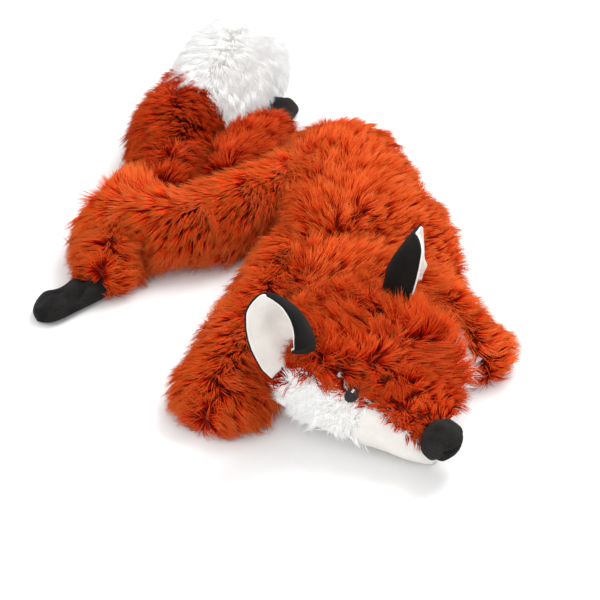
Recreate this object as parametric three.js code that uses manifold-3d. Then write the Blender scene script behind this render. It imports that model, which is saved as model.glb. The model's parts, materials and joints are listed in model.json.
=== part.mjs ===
// An unstuffed plush fox: a long flat skin of long-pile plush with a smooth velboa underside, folded
// in a U on the floor, with a lightly padded head, cupped ears, sock-like hind feet and a brush of a tail.
// Lengths are millimetres and headings are degrees from +X. +Z is up and the floor is at zero.
// The origin is on the floor, under the middle of the toy's box.
import * as THREE from "three";
import { mergeVertices } from "three/addons/utils/BufferGeometryUtils.js";
import Module from "manifold-3d";

const wasm = await Module();
wasm.setup();

// Clearances and layers shared by every piece
const gap = 0.4;
const overrun = 6;
const floorCut = 0.5;
const reach = 900;
const underLayer = 3;

// Fore body: from the U bend down to the neck
const foreLength = 160;
const foreWidth = 104;
const foreHeight = 54;
const bendX = 22;
const bendY = 104;
const bendRadius = 46;

// Hind body: from the U bend to the rump
const hindLength = 150;
const hindWidth = 64;
const hindHeight = 46;

// Head: from the neck seam to the tip of the muzzle
const neckX = 2;
const neckY = -49;
const headHeading = -51;
const headLength = 110;
const headWidth = 92;
const headHeight = 56;
const headPile = 8;
const muzzleSeam = 77;
const throatWidth = 34;
const throatRise = 14;
const cheekTop = 38;
const muzzleSeamBack = 31;
const muzzleSeamFront = 17;
const brow = 6;

// Nose and eyes
const noseWidth = 24;
const noseHeight = 23;
const noseDepth = 20;
const noseCentreHeight = 21;
const noseCleftWidth = 1.6;
const noseCleftDepth = 4;
const eyeWidth = 8;
const eyeHeight = 11;
const eyeDepth = 5;
const eyeAlong = 68;
const eyeRise = 27;

// Ears
const earHeight = 53;
const earWidth = 33;
const earLayer = 1.6;
const earCup = 9;
const earLean = 11;
const earTurn = 48;
const earOutward = 30;
const earInward = 12;
const earAlong = 31;
const earInset = 5;
const earRootRadius = 2.8;
const earRootWidth = 14;

// Front legs
const rightForeLegLength = 112;
const rightForeLegWidth = 54;
const rightForeLegHeight = 34;
const rightForeLegSwing = 35;
const leftForeLegLength = 58;
const leftForeLegWidth = 34;
const leftForeLegHeight = 28;

// Hind legs and their socks
const rightHindLegLength = 40;
const rightHindLegWidth = 58;
const rightHindLegHeight = 36;
const leftHindLegLength = 84;
const leftHindLegWidth = 46;
const leftHindLegHeight = 32;
const footLength = 42;
const footWidth = 23;
const footHeight = 13;
const footUnderLayer = 4;

// Tail and its white tip
const tailLength = 106;
const tailWidth = 62;
const tailHeight = 42;
const tipLength = 94;
const tipWidth = 74;
const tipHeight = 50;

// Squeakers: a hollow bulb with a reed in its neck
const bulbDiameter = 22;
const bulbLength = 38;
const bulbWall = 0.9;
const bulbNeckLength = 6;
const bulbNeckDiameter = 9;
const reedBore = 1.5;
const reedFit = 0.3;
const pocketFit = 0.6;
const bulbSegments = 16;

// Materials
const orangePlush = "#c24414";
const whitePlush = "#f2f0ec";
const whiteVelboa = "#efede8";
const blackVelboa = "#1c1c1e";
const fillWhite = "#f4f2ee";
const squeakerVinyl = "#e6e2d6";
const reedVinyl = "#d9d4c6";
const eyeBlack = "#151515";
const clothRoughness = 0.95;
const vinylRoughness = 0.5;

// A level frame: a place on the floor plan, a heading and a height
function levelFrame(x, y, heading, height = 0) {
  return new THREE.Matrix4()
    .makeRotationZ(THREE.MathUtils.degToRad(heading))
    .setPosition(x, y, height);
}

function pointIn(frame, along, aside, up = 0) {
  return new THREE.Vector3(along, aside, up).applyMatrix4(frame);
}

// A frame set in another one, further along it, aside and turned
function frameOn(frame, along, aside, turn, height = 0) {
  return frame.clone().multiply(levelFrame(along, aside, turn, height));
}

// Between a three.js geometry and a solid that can be cut
function solidOf(geometry, frame = new THREE.Matrix4()) {
  const bare = geometry.clone().applyMatrix4(frame);
  for (const extra of Object.keys(bare.attributes)) {
    if (extra !== "position") bare.deleteAttribute(extra);
  }
  const merged = mergeVertices(bare, 1e-4);
  const vertProperties = new Float32Array(merged.attributes.position.array);
  const triVerts = new Uint32Array(merged.index.array);
  return new wasm.Manifold(new wasm.Mesh({ numProp: 3, vertProperties, triVerts }));
}

function geometryOf(solid) {
  const mesh = solid.getMesh();
  const geometry = new THREE.BufferGeometry();
  geometry.setAttribute("position", new THREE.BufferAttribute(new Float32Array(mesh.vertProperties), 3));
  geometry.setIndex(new THREE.BufferAttribute(new Uint32Array(mesh.triVerts), 1));
  geometry.computeVertexNormals();
  return geometry;
}

// A closed skin over a row of rings, each a closed loop of points, with a pole at either end
function loft(rings, startPole, endPole) {
  const sides = rings[0].length;
  const points = [startPole, ...rings.flat(), endPole];
  const last = points.length - 1;
  const faces = [];
  for (let side = 0; side < sides; side += 1) {
    const next = (side + 1) % sides;
    faces.push(0, 1 + next, 1 + side);
    const tail = 1 + (rings.length - 1) * sides;
    faces.push(last, tail + side, tail + next);
    for (let ring = 0; ring < rings.length - 1; ring += 1) {
      const here = 1 + ring * sides;
      const beyond = here + sides;
      faces.push(here + side, here + next, beyond + side);
      faces.push(here + next, beyond + next, beyond + side);
    }
  }
  const geometry = new THREE.BufferGeometry();
  geometry.setAttribute("position", new THREE.Float32BufferAttribute(points.flatMap((p) => p.toArray()), 3));
  geometry.setIndex(faces);
  return geometry;
}

// The columns of a form's rows
const columns = ["along", "aside", "width", "height"];

function rowAt(rows, position) {
  const scaled = position * (rows.length - 1);
  const low = Math.min(Math.floor(scaled), rows.length - 2);
  const part = scaled - low;
  const mixed = {};
  columns.forEach((name, column) => {
    const before = rows[Math.max(low - 1, 0)][column];
    const here = rows[low][column];
    const next = rows[low + 1][column];
    const after = rows[Math.min(low + 2, rows.length - 1)][column];
    const slopeHere = (next - before) / 2;
    const slopeNext = (after - here) / 2;
    const square = part * part;
    const cube = square * part;
    mixed[name] =
      (2 * cube - 3 * square + 1) * here +
      (cube - 2 * square + part) * slopeHere +
      (3 * square - 2 * cube) * next +
      (cube - square) * slopeNext;
  });
  return mixed;
}

// A soft form lying on the floor: it swells and tapers along its route, is round above and flat below
const edgeShare = 0.36;
const endHeightShare = 0.35;
const crestShare = 0.9;

// How far from its ends a form rounds off, as a share of its width
const roundShares = { bend: 0.42, neck: 0.2, rump: 0.3, frontPaw: 0.4, foot: 0.45, tip: 0.5 };

function softForm(frame, size, rows, { rings = 15, sides = 18, grow = 0, roundStart = 0, roundEnd = 0 } = {}) {
  const at = (position) => {
    const row = rowAt(rows, position);
    return {
      centre: new THREE.Vector2(row.along * size.length, row.aside * size.length),
      half: (row.width * size.width) / 2 + grow,
      high: row.height * size.height + grow,
    };
  };
  const samples = [];
  for (let ring = 1; ring <= rings; ring += 1) {
    const even = ring / (rings + 1);
    const eased = (1 - Math.cos(Math.PI * even)) / 2;
    samples.push((even + eased) / 2);
  }
  const step = 1e-3;
  const outline = samples.map((position) => {
    const here = at(position);
    const heading = at(Math.min(position + step, 1)).centre.sub(at(Math.max(position - step, 0)).centre);
    const side = new THREE.Vector2(-heading.y, heading.x).normalize();
    const fromStart = here.centre.distanceTo(at(0).centre);
    const fromEnd = here.centre.distanceTo(at(1).centre);
    const rounding = (distance, radius) => {
      if (radius === 0 || distance >= radius) return 1;
      return Math.sqrt(1 - (1 - distance / radius) ** 2);
    };
    const factor = rounding(fromStart, roundStart * size.width) * rounding(fromEnd, roundEnd * size.width);
    const high = here.high * (endHeightShare + (1 - endHeightShare) * factor);
    return { ...here, side, half: here.half * factor, high };
  });
  const ringPoints = outline.map(({ centre, side, half, high }) => {
    const edge = edgeShare * high;
    return Array.from({ length: sides }, (_, index) => {
      const turn = (2 * Math.PI * index) / sides;
      const rise = Math.sin(turn);
      const z = rise >= 0 ? edge + (high - edge) * rise ** crestShare : edge + (edge + floorCut) * rise;
      const across = centre.clone().addScaledVector(side, half * Math.cos(turn));
      return new THREE.Vector3(across.x, across.y, z).applyMatrix4(frame);
    });
  });
  const pole = (position, high) => {
    const { centre } = at(position);
    return new THREE.Vector3(centre.x, centre.y, edgeShare * high).applyMatrix4(frame);
  };
  const first = outline[0].high;
  const final = outline[outline.length - 1].high;
  return solidOf(loft(ringPoints, pole(0, first), pole(1, final)));
}

// Cutting solids: a level slab, everything ahead of a seam, and an upright round plug
function slab(low, high) {
  const box = new THREE.BoxGeometry(reach, reach, high - low);
  return solidOf(box, new THREE.Matrix4().setPosition(0, 0, (low + high) / 2));
}

function ahead(frame, from, width = reach, low = -reach / 2) {
  const box = new THREE.BoxGeometry(reach, width, reach / 2 - low);
  const middle = new THREE.Matrix4().setPosition(from + reach / 2, 0, (reach / 2 + low) / 2);
  return solidOf(box, frame.clone().multiply(middle));
}

function uprightPlug(x, y, radius) {
  const cylinder = new THREE.CylinderGeometry(radius, radius, reach, 64);
  cylinder.rotateX(Math.PI / 2);
  return solidOf(cylinder, new THREE.Matrix4().setPosition(x, y, 0));
}

const aboveFloor = slab(0, reach);
const aboveUnder = slab(underLayer + gap, reach);
const belowUnder = slab(0, underLayer);
const onFloor = (solid) => solid.intersect(aboveFloor);
const upperOf = (solid) => solid.intersect(aboveUnder);
const underOf = (solid) => solid.intersect(belowUnder);

// Level frames of the limbs: each starts at its seam and points the way it lies
const foreFrame = levelFrame(bendX, bendY, -90);
const hindFrame = levelFrame(bendX, bendY, 180);
const headFrame = levelFrame(neckX, neckY, headHeading);

// Rows: along, aside, width and height, each as a share of the form's length, length, width and height
const foreRowShares = [
  [-0.26, 0.03, 0.7, 0.86],
  [-0.08, 0.05, 0.86, 0.99],
  [0.13, 0.08, 0.87, 1.02],
  [0.34, 0.13, 0.96, 1.0],
  [0.56, 0.15, 1.0, 0.97],
  [0.77, 0.11, 0.95, 0.92],
  [0.93, 0.015, 0.78, 0.88],
  [1.08, -0.115, 0.7, 0.84],
];
const hindRowShares = [
  [-0.087, 0.08, 0.9, 1.08],
  [0.06, 0.073, 0.96, 1.06],
  [0.25, 0.147, 1.0, 1.0],
  [0.48, 0.273, 0.98, 0.92],
  [0.71, 0.313, 1.06, 0.88],
  [0.97, 0.26, 1.24, 0.88],
];
const headRowShares = [
  [-0.06, 0.0, 0.76, 0.84],
  [0.12, 0.0, 0.92, 0.95],
  [0.3, 0.0, 1.0, 1.0],
  [0.48, 0.0, 0.98, 0.95],
  [0.64, 0.0, 0.8, 0.8],
  [0.79, 0.0, 0.52, 0.64],
  [0.92, 0.0, 0.36, 0.56],
  [1.0, 0.0, 0.3, 0.52],
];
const flatLegRowShares = [
  [-0.3, 0.0, 0.92, 1.0],
  [0.05, 0.0, 0.97, 1.0],
  [0.35, 0.0, 0.96, 0.94],
  [0.62, 0.0, 0.98, 0.88],
  [0.84, 0.0, 1.0, 0.84],
  [1.0, 0.0, 0.92, 0.76],
];
const rightHindLegRowShares = [
  [-0.3, 0.0, 0.98, 1.06],
  [0.1, 0.0, 1.0, 1.0],
  [0.5, 0.0, 0.88, 0.86],
  [0.85, 0.0, 0.66, 0.7],
  [1.1, 0.0, 0.48, 0.52],
];
const leftHindLegRowShares = [
  [-0.1, 0.0, 0.94, 1.0],
  [0.22, 0.02, 1.0, 1.0],
  [0.52, 0.03, 0.98, 0.92],
  [0.8, 0.0, 0.8, 0.78],
  [1.06, -0.05, 0.6, 0.54],
];
const footRowShares = [
  [-0.2, 0.0, 0.8, 0.94],
  [0.1, 0.0, 0.86, 1.0],
  [0.4, 0.03, 0.94, 0.92],
  [0.72, 0.05, 1.0, 0.94],
  [1.0, 0.03, 0.86, 0.72],
];
const tailRowShares = [
  [-0.08, 0.0, 0.62, 0.86],
  [0.18, 0.02, 0.82, 0.96],
  [0.42, 0.03, 1.0, 1.0],
  [0.66, -0.01, 1.0, 1.0],
  [0.86, -0.1, 0.98, 1.0],
  [1.1, -0.24, 0.94, 1.0],
];
const tipRowShares = [
  [-0.1, 0.0, 0.78, 0.86],
  [0.12, 0.0, 0.9, 0.94],
  [0.36, 0.0, 1.0, 1.0],
  [0.6, 0.0, 0.98, 1.0],
  [0.82, 0.0, 0.86, 0.9],
  [1.0, 0.0, 0.62, 0.72],
];

// Seams where the limbs hang: how far along and aside on what carries them, as shares, and how far turned
const seamShares = {
  rightForeLeg: { along: 0.7, aside: -0.31 },
  leftForeLeg: { along: 0.785, aside: 0.56 },
  rightHindLeg: { along: 0.9, aside: 0.9 },
  leftHindLeg: { along: 0.45, aside: 0.105 },
  rightFoot: { along: 1, aside: 0 },
  leftFoot: { along: 1, aside: -0.11 },
  tail: { along: 0.76, aside: 0.22 },
  tip: { along: 0.98, aside: -0.39 },
};
const seamTurns = {
  rightForeLeg: -21,
  leftForeLeg: 29,
  rightHindLeg: 71,
  leftHindLeg: -107,
  rightFoot: -33,
  leftFoot: 3,
  tail: -92,
  tip: -21,
};
function seamFrame(name, carrier, length, width) {
  const { along, aside } = seamShares[name];
  return frameOn(carrier, length * along, width * aside, seamTurns[name]);
}
const rightForeLegFrame = seamFrame("rightForeLeg", foreFrame, foreLength, foreWidth);
const leftForeLegFrame = seamFrame("leftForeLeg", foreFrame, foreLength, foreWidth);
const rightHindLegFrame = seamFrame("rightHindLeg", hindFrame, hindLength, hindWidth);
const rightFootFrame = seamFrame("rightFoot", rightHindLegFrame, rightHindLegLength, rightHindLegWidth);
const leftHindLegFrame = seamFrame("leftHindLeg", hindFrame, hindLength, hindWidth);
const leftFootFrame = seamFrame("leftFoot", leftHindLegFrame, leftHindLegLength, leftHindLegWidth);
const tailFrame = seamFrame("tail", hindFrame, hindLength, hindWidth);
const tipFrame = seamFrame("tip", tailFrame, tailLength, tailWidth);

const foreSize = { length: foreLength, width: foreWidth, height: foreHeight };
const hindSize = { length: hindLength, width: hindWidth, height: hindHeight };
const headSize = { length: headLength, width: headWidth, height: headHeight };

// Everything ahead of a limb's seam and as wide as the limb is left clear in what carries it
const bay = (frame, width) => ahead(frame, -gap, width + 2 * gap);

// A limb that swings level has a round root, and its bay fans out as far as it swings
function swingRoot(frame, radius) {
  const pivot = pointIn(frame, 0, 0);
  return uprightPlug(pivot.x, pivot.y, radius);
}
function swingBay(frame, width, swing) {
  let fan = swingRoot(frame, width / 2 + gap);
  for (const share of [0, 1 / 3, 2 / 3, 1]) fan = fan.add(bay(frameOn(frame, 0, 0, swing * share), width));
  return fan;
}

// Fore body, with room for the head, the ears above it and both front legs
const earRoomShare = 1.5;
const foreOptions = { rings: 18, roundStart: roundShares.bend, roundEnd: roundShares.neck };
const foreWhole = onFloor(softForm(foreFrame, foreSize, foreRowShares, foreOptions))
  .subtract(bay(headFrame, headWidth))
  .subtract(ahead(headFrame, -gap, headWidth + 2 * earLean * earRoomShare, headHeight / 2))
  .subtract(swingBay(rightForeLegFrame, rightForeLegWidth, -rightForeLegSwing))
  .subtract(bay(leftForeLegFrame, leftForeLegWidth));

// Hind body, swung out about the bend, with room for the hind legs and the tail
const foreGrownOptions = { rings: 18, roundStart: roundShares.bend, grow: gap };
const foreGrown = softForm(foreFrame, foreSize, foreRowShares, foreGrownOptions);
const hindOptions = { rings: 16, roundEnd: roundShares.rump };
const hindWhole = onFloor(softForm(hindFrame, hindSize, hindRowShares, hindOptions))
  .subtract(uprightPlug(bendX, bendY, bendRadius + gap))
  .subtract(foreGrown)
  .subtract(bay(rightHindLegFrame, rightHindLegWidth))
  .subtract(bay(leftHindLegFrame, leftHindLegWidth))
  .subtract(bay(tailFrame, tailWidth));

// A limb starts at its own seam
function limb(frame, size, rows, { root = ahead(frame, 0), ...options } = {}) {
  return onFloor(softForm(frame, size, rows, options)).intersect(root);
}

const rightForeLegRoot = ahead(rightForeLegFrame, 0).add(swingRoot(rightForeLegFrame, rightForeLegWidth / 2));
const rightForeLeg = limb(
  rightForeLegFrame,
  { length: rightForeLegLength, width: rightForeLegWidth, height: rightForeLegHeight },
  flatLegRowShares,
  { roundEnd: roundShares.frontPaw, root: rightForeLegRoot },
).subtract(bay(headFrame, headWidth));
const leftForeLeg = limb(
  leftForeLegFrame,
  { length: leftForeLegLength, width: leftForeLegWidth, height: leftForeLegHeight },
  flatLegRowShares,
  { roundEnd: roundShares.frontPaw },
);
const footSize = { length: footLength, width: footWidth, height: footHeight };
const rightHindLeg = limb(
  rightHindLegFrame,
  { length: rightHindLegLength, width: rightHindLegWidth, height: rightHindLegHeight },
  rightHindLegRowShares,
).subtract(bay(rightFootFrame, rightHindLegWidth));
const leftHindLeg = limb(
  leftHindLegFrame,
  { length: leftHindLegLength, width: leftHindLegWidth, height: leftHindLegHeight },
  leftHindLegRowShares,
).subtract(bay(leftFootFrame, leftHindLegWidth));
const footOptions = { rings: 12, sides: 16, roundEnd: roundShares.foot };
const rightFoot = limb(rightFootFrame, footSize, footRowShares, footOptions);
const leftFoot = limb(leftFootFrame, footSize, footRowShares, footOptions);
const tail = limb(
  tailFrame,
  { length: tailLength, width: tailWidth, height: tailHeight },
  tailRowShares,
).subtract(bay(tipFrame, 2 * tipWidth));

// The left hind foot lies beside the tip, which leaves it room to fold up
const leftFootSweep = ahead(leftFootFrame, -overrun, footWidth + 2 * overrun).subtract(
  ahead(leftFootFrame, footLength + overrun, reach),
);
const tip = limb(
  tipFrame,
  { length: tipLength, width: tipWidth, height: tipHeight },
  tipRowShares,
  { roundEnd: roundShares.tip },
).subtract(leftFootSweep);

// The squeaker's bulb lies level, its neck pointing back along the frame
function squeakerBulb(frame, extra = 0) {
  const radius = bulbDiameter / 2 + extra;
  const neck = bulbNeckDiameter / 2 + extra;
  const half = bulbLength / 2 + extra;
  const outer = [new THREE.Vector2(0, half)];
  const steps = 8;
  for (let step = 1; step < steps; step += 1) {
    const turn = (Math.PI * step) / steps;
    const y = half * Math.cos(turn);
    const x = radius * Math.sin(turn);
    if (y > 0 || x > neck) outer.push(new THREE.Vector2(x, y));
  }
  const rim = -half - bulbNeckLength;
  outer.push(new THREE.Vector2(neck, rim));
  const profile = [...outer];
  if (extra > 0) {
    profile.push(new THREE.Vector2(0, rim));
  } else {
    const inner = outer
      .slice(1, -1)
      .map((point) => point.clone().multiplyScalar(1 - bulbWall / (bulbDiameter / 2)))
      .reverse();
    profile.push(new THREE.Vector2(neck - bulbWall, rim));
    profile.push(...inner);
    profile.push(new THREE.Vector2(0, half - bulbWall));
  }
  const lathe = new THREE.LatheGeometry(profile.reverse(), bulbSegments);
  lathe.rotateZ(-Math.PI / 2);
  return solidOf(lathe, frame);
}

// The reed is a short plug with a fine bore, pushed into the neck
function squeakerReed(frame) {
  const radius = bulbNeckDiameter / 2 - bulbWall - reedFit;
  const rim = -bulbLength / 2 - bulbNeckLength;
  const profile = [
    new THREE.Vector2(reedBore / 2, rim),
    new THREE.Vector2(radius, rim),
    new THREE.Vector2(radius, rim + bulbNeckLength / 2),
    new THREE.Vector2(reedBore / 2, rim + bulbNeckLength / 2),
    new THREE.Vector2(reedBore / 2, rim),
  ];
  const lathe = new THREE.LatheGeometry(profile, bulbSegments);
  lathe.rotateZ(-Math.PI / 2);
  return solidOf(lathe, frame);
}

// How far the padding and its hollow reach along the head
const hollowEndShare = 0.9;

// Head: an envelope as high as the pile, a padding inside it and a shell of cloth between the two
const headEnvelope = onFloor(softForm(headFrame, headSize, headRowShares, { rings: 16, sides: 20 }));
const headInside = softForm(headFrame, headSize, headRowShares, { rings: 10, sides: 16, grow: -headPile })
  .intersect(slab(underLayer + gap, reach))
  .intersect(ahead(headFrame, -overrun))
  .subtract(ahead(headFrame, headLength * hollowEndShare));
const headHollow = softForm(headFrame, headSize, headRowShares, { rings: 10, sides: 16, grow: gap - headPile })
  .intersect(slab(underLayer, reach))
  .subtract(ahead(headFrame, headLength * hollowEndShare + gap));

// The head's squeaker lies in a pocket that opens at the neck
const headMiddle = headHeight / 2 - underLayer;
const headSqueakerFrame = frameOn(headFrame, bulbLength / 2 + bulbNeckLength + overrun, 0, 0, headMiddle);
const pocketMouth = bulbNeckDiameter / 2 + pocketFit;
const pocketWay = new THREE.CylinderGeometry(pocketMouth, pocketMouth, reach, bulbSegments)
  .rotateZ(Math.PI / 2)
  .translate(bulbLength / 2 - reach / 2, 0, headMiddle);
const headStuffing = headInside
  .intersect(ahead(headFrame, 0))
  .subtract(squeakerBulb(headSqueakerFrame, pocketFit))
  .subtract(solidOf(pocketWay, headFrame));

// The nose is a padded ball at the tip of the muzzle, cleft below
const noseFrame = frameOn(headFrame, headLength, 0, 0, noseCentreHeight);
function noseBall(extra = 0) {
  const ball = new THREE.SphereGeometry(1, 16, 12);
  ball.scale(noseDepth / 2 + extra, noseWidth / 2 + extra, noseHeight / 2 + extra);
  return solidOf(ball, noseFrame);
}
const cleft = new THREE.BoxGeometry(noseDepth, noseCleftWidth, noseHeight / 2);
cleft.translate(noseDepth - noseCleftDepth, 0, -noseHeight / 4);
const nose = noseBall().subtract(solidOf(cleft, noseFrame));

// The point where a ray from outside the head first meets its surface
const bothSides = new THREE.MeshBasicMaterial({ side: THREE.DoubleSide });
const headSkin = new THREE.Mesh(geometryOf(headEnvelope), bothSides);
function surfacePoint(from, towards) {
  const ray = new THREE.Raycaster(from, towards.clone().sub(from).normalize());
  return ray.intersectObject(headSkin)[0].point;
}

// Eyes: a padded oval set flush in each side of the face
function eyeFrame(side) {
  const far = pointIn(headFrame, eyeAlong, side * headWidth, eyeRise + headHeight / 2);
  const middle = pointIn(headFrame, eyeAlong, 0, eyeRise - eyeHeight / 2);
  const seat = surfacePoint(far, middle);
  const outward = far.clone().sub(middle).normalize();
  const turn = new THREE.Quaternion().setFromUnitVectors(new THREE.Vector3(0, 1, 0), outward);
  return new THREE.Matrix4().compose(seat, turn, new THREE.Vector3(1, 1, 1));
}
function eyeBall(side, extra = 0) {
  const ball = new THREE.SphereGeometry(1, 12, 8);
  ball.scale(eyeWidth / 2 + extra, eyeDepth / 2 + extra, eyeHeight / 2 + extra);
  return solidOf(ball, eyeFrame(side));
}

// Ears: two cloth layers, cupped towards the front and the side, standing on a rolled root
function earFrame(side) {
  const aside = side * (headWidth / 2 - earInset);
  const over = pointIn(headFrame, earAlong, aside, headHeight * 2);
  const seat = surfacePoint(over, pointIn(headFrame, earAlong, aside, 0));
  const facing = THREE.MathUtils.degToRad(headHeading) + side * THREE.MathUtils.degToRad(earTurn);
  return new THREE.Matrix4().makeRotationZ(facing).setPosition(seat);
}

// Outline of the ear: half of its width at each height, as a share, and how its cup and lean run up it
const earCupStartShare = 0.12;
const earCupRunShare = 0.75;
const earLeanPower = 1.4;
const earForwardShare = 0.6;
const earSidewaysShare = 0.5;
const earOutlineShares = [0.44, 0.74, 0.94, 1.0, 0.94, 0.78, 0.54, 0.24];

function earLayerSolid(frame, side, near, far) {
  const columnCount = 8;
  const levels = earOutlineShares.length;
  const at = (columnShare, level, depth) => {
    const up = level / (levels - 1);
    const half = (earWidth / 2) * earOutlineShares[level];
    const cup = earCup * Math.sin(Math.PI * (up * earCupRunShare + earCupStartShare)) * columnShare ** 2;
    const lean = earLean * up ** earLeanPower;
    const across = columnShare * half + side * lean * earSidewaysShare;
    return new THREE.Vector3(cup + lean * earForwardShare + depth, across, up * earHeight);
  };
  const loopAt = (level) => {
    const front = [];
    const back = [];
    for (let column = 0; column <= columnCount; column += 1) {
      const columnShare = (2 * column) / columnCount - 1;
      front.push(at(columnShare, level, far).applyMatrix4(frame));
      back.push(at(columnShare, level, near).applyMatrix4(frame));
    }
    return [...front, ...back.reverse()];
  };
  const loops = Array.from({ length: levels }, (_, level) => loopAt(level));
  const middleOf = (loop) => {
    const total = loop.reduce((sum, point) => sum.add(point), new THREE.Vector3());
    return total.divideScalar(loop.length);
  };
  return solidOf(loft(loops, middleOf(loops[0]), middleOf(loops[levels - 1])));
}

function earRoot(frame, extra = 0) {
  const radius = earRootRadius + extra;
  const roll = new THREE.CylinderGeometry(radius, radius, earRootWidth + 2 * extra, 20);
  return solidOf(roll, frame);
}

// What the ear sweeps as it flops, kept clear in the head
function earBay(frame) {
  const outward = Math.tan(THREE.MathUtils.degToRad(earOutward));
  const inward = Math.tan(THREE.MathUtils.degToRad(earInward));
  const back = earLayer + 2 * gap;
  const front = earLayer + 2 * gap + earCup / 2;
  const wedge = new THREE.Shape([
    new THREE.Vector2(-back, -back * inward),
    new THREE.Vector2(0, 0),
    new THREE.Vector2(front, -front * outward - gap),
    new THREE.Vector2(front + earHeight * outward, earHeight),
    new THREE.Vector2(-back - earHeight * inward, earHeight),
  ]);
  const width = earWidth + 2 * gap;
  const block = new THREE.ExtrudeGeometry(wedge, { depth: width, bevelEnabled: false });
  block.translate(0, 0, -width / 2);
  block.rotateX(Math.PI / 2);
  return solidOf(block, frame);
}

const ears = [
  { side: -1, name: "right" },
  { side: 1, name: "left" },
].map(({ side, name }) => {
  const frame = earFrame(side);
  const back = earLayerSolid(frame, side, -earLayer - gap / 2, -gap / 2).add(earRoot(frame));
  const lining = earLayerSolid(frame, side, gap / 2, gap / 2 + earLayer).subtract(earRoot(frame, gap));
  return { name, side, frame, back, lining };
});

// The shell of the head, parted at its seams
const browBack = eyeAlong - brow;
const browFront = eyeAlong + brow;
function crownZone(offset) {
  const side = new THREE.Shape([
    new THREE.Vector2(-reach, cheekTop + offset),
    new THREE.Vector2(browBack, cheekTop + offset),
    new THREE.Vector2(browFront, muzzleSeamBack + offset),
    new THREE.Vector2(headLength, muzzleSeamFront + offset),
    new THREE.Vector2(reach, muzzleSeamFront + offset),
    new THREE.Vector2(reach, reach),
    new THREE.Vector2(-reach, reach),
  ]);
  const block = new THREE.ExtrudeGeometry(side, { depth: reach, bevelEnabled: false });
  block.translate(0, 0, -reach / 2);
  block.rotateX(Math.PI / 2);
  return solidOf(block, headFrame);
}
let headShell = headEnvelope
  .subtract(headHollow)
  .intersect(ahead(headFrame, 0))
  .subtract(ahead(headFrame, headLength - noseDepth / 4))
  .subtract(noseBall(gap));
for (const side of [-1, 1]) headShell = headShell.subtract(eyeBall(side, gap));
for (const { frame } of ears) headShell = headShell.subtract(earRoot(frame, gap)).subtract(earBay(frame));
const crown = headShell.intersect(crownZone(gap / 2));
const lowerShell = headShell.subtract(crownZone(-gap / 2));
const chinZone = (extra) => {
  const throat = new THREE.BoxGeometry(reach, throatWidth + 2 * extra, 2 * (throatRise + extra));
  return ahead(headFrame, muzzleSeam - extra).add(solidOf(throat, headFrame));
};
const chin = lowerShell.intersect(chinZone(0));
const cheeks = lowerShell.subtract(chinZone(gap));
const rightHalf = solidOf(new THREE.BoxGeometry(reach, reach, reach).translate(0, -reach / 2, 0), headFrame);

// The tip of the tail holds the second squeaker between its two layers
const tipSqueakerShare = 0.48;
const tipMiddle = tipHeight / 2 - underLayer;
const tipSqueakerFrame = frameOn(tipFrame, tipLength * tipSqueakerShare, 0, 0, tipMiddle);
const tipPocket = squeakerBulb(tipSqueakerFrame, pocketFit);
const tipDropBox = new THREE.BoxGeometry(bulbLength, bulbNeckDiameter, tipMiddle);
const tipDrop = solidOf(tipDropBox.translate(0, 0, -tipMiddle / 2), tipSqueakerFrame);

// The scene: each group stands at the seam that its pieces turn about
const toy = new THREE.Group();
toy.name = "toy";

function turningGroup(parent, name, frame) {
  const group = new THREE.Group();
  group.name = name;
  parent.updateWorldMatrix(true, false);
  const local = parent.matrixWorld.clone().invert().multiply(frame);
  local.decompose(group.position, group.quaternion, group.scale);
  parent.add(group);
  group.updateWorldMatrix(true, false);
  return group;
}

function addPiece(group, name, solid, color, roughness = clothRoughness) {
  group.updateWorldMatrix(true, false);
  const geometry = geometryOf(solid).applyMatrix4(group.matrixWorld.clone().invert());
  const mesh = new THREE.Mesh(geometry, new THREE.MeshStandardMaterial({ color, roughness, metalness: 0 }));
  mesh.name = name;
  group.add(mesh);
  return mesh;
}

const raised = (frame, height) => frameOn(frame, 0, 0, 0, height);

const fore = turningGroup(toy, "fore", new THREE.Matrix4());
addPiece(fore, "fore_back", upperOf(foreWhole), orangePlush);
addPiece(fore, "fore_belly", underOf(foreWhole), whiteVelboa);

const hind = turningGroup(fore, "hind", raised(hindFrame, 0));
addPiece(hind, "hind_back", upperOf(hindWhole), orangePlush);
addPiece(hind, "hind_belly", underOf(hindWhole), whiteVelboa);

const rightHindLegGroup = turningGroup(hind, "right_hind_leg", raised(rightHindLegFrame, rightHindLegHeight));
addPiece(rightHindLegGroup, "right_hind_leg_upper", upperOf(rightHindLeg), orangePlush);
addPiece(rightHindLegGroup, "right_hind_leg_inside", underOf(rightHindLeg), whiteVelboa);
const leftHindLegGroup = turningGroup(hind, "left_hind_leg", raised(leftHindLegFrame, leftHindLegHeight));
addPiece(leftHindLegGroup, "left_hind_leg_upper", upperOf(leftHindLeg), orangePlush);
addPiece(leftHindLegGroup, "left_hind_leg_inside", underOf(leftHindLeg), whiteVelboa);

const footTop = slab(footUnderLayer + gap, reach);
const footSole = slab(0, footUnderLayer);
const rightFootGroup = turningGroup(rightHindLegGroup, "right_hind_foot", raised(rightFootFrame, footHeight));
addPiece(rightFootGroup, "right_hind_foot_upper", rightFoot.intersect(footTop), blackVelboa);
addPiece(rightFootGroup, "right_hind_foot_sole", rightFoot.intersect(footSole), blackVelboa);
const leftFootGroup = turningGroup(leftHindLegGroup, "left_hind_foot", raised(leftFootFrame, footHeight));
addPiece(leftFootGroup, "left_hind_foot_upper", leftFoot.intersect(footTop), blackVelboa);
addPiece(leftFootGroup, "left_hind_foot_sole", leftFoot.intersect(footSole), blackVelboa);

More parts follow.
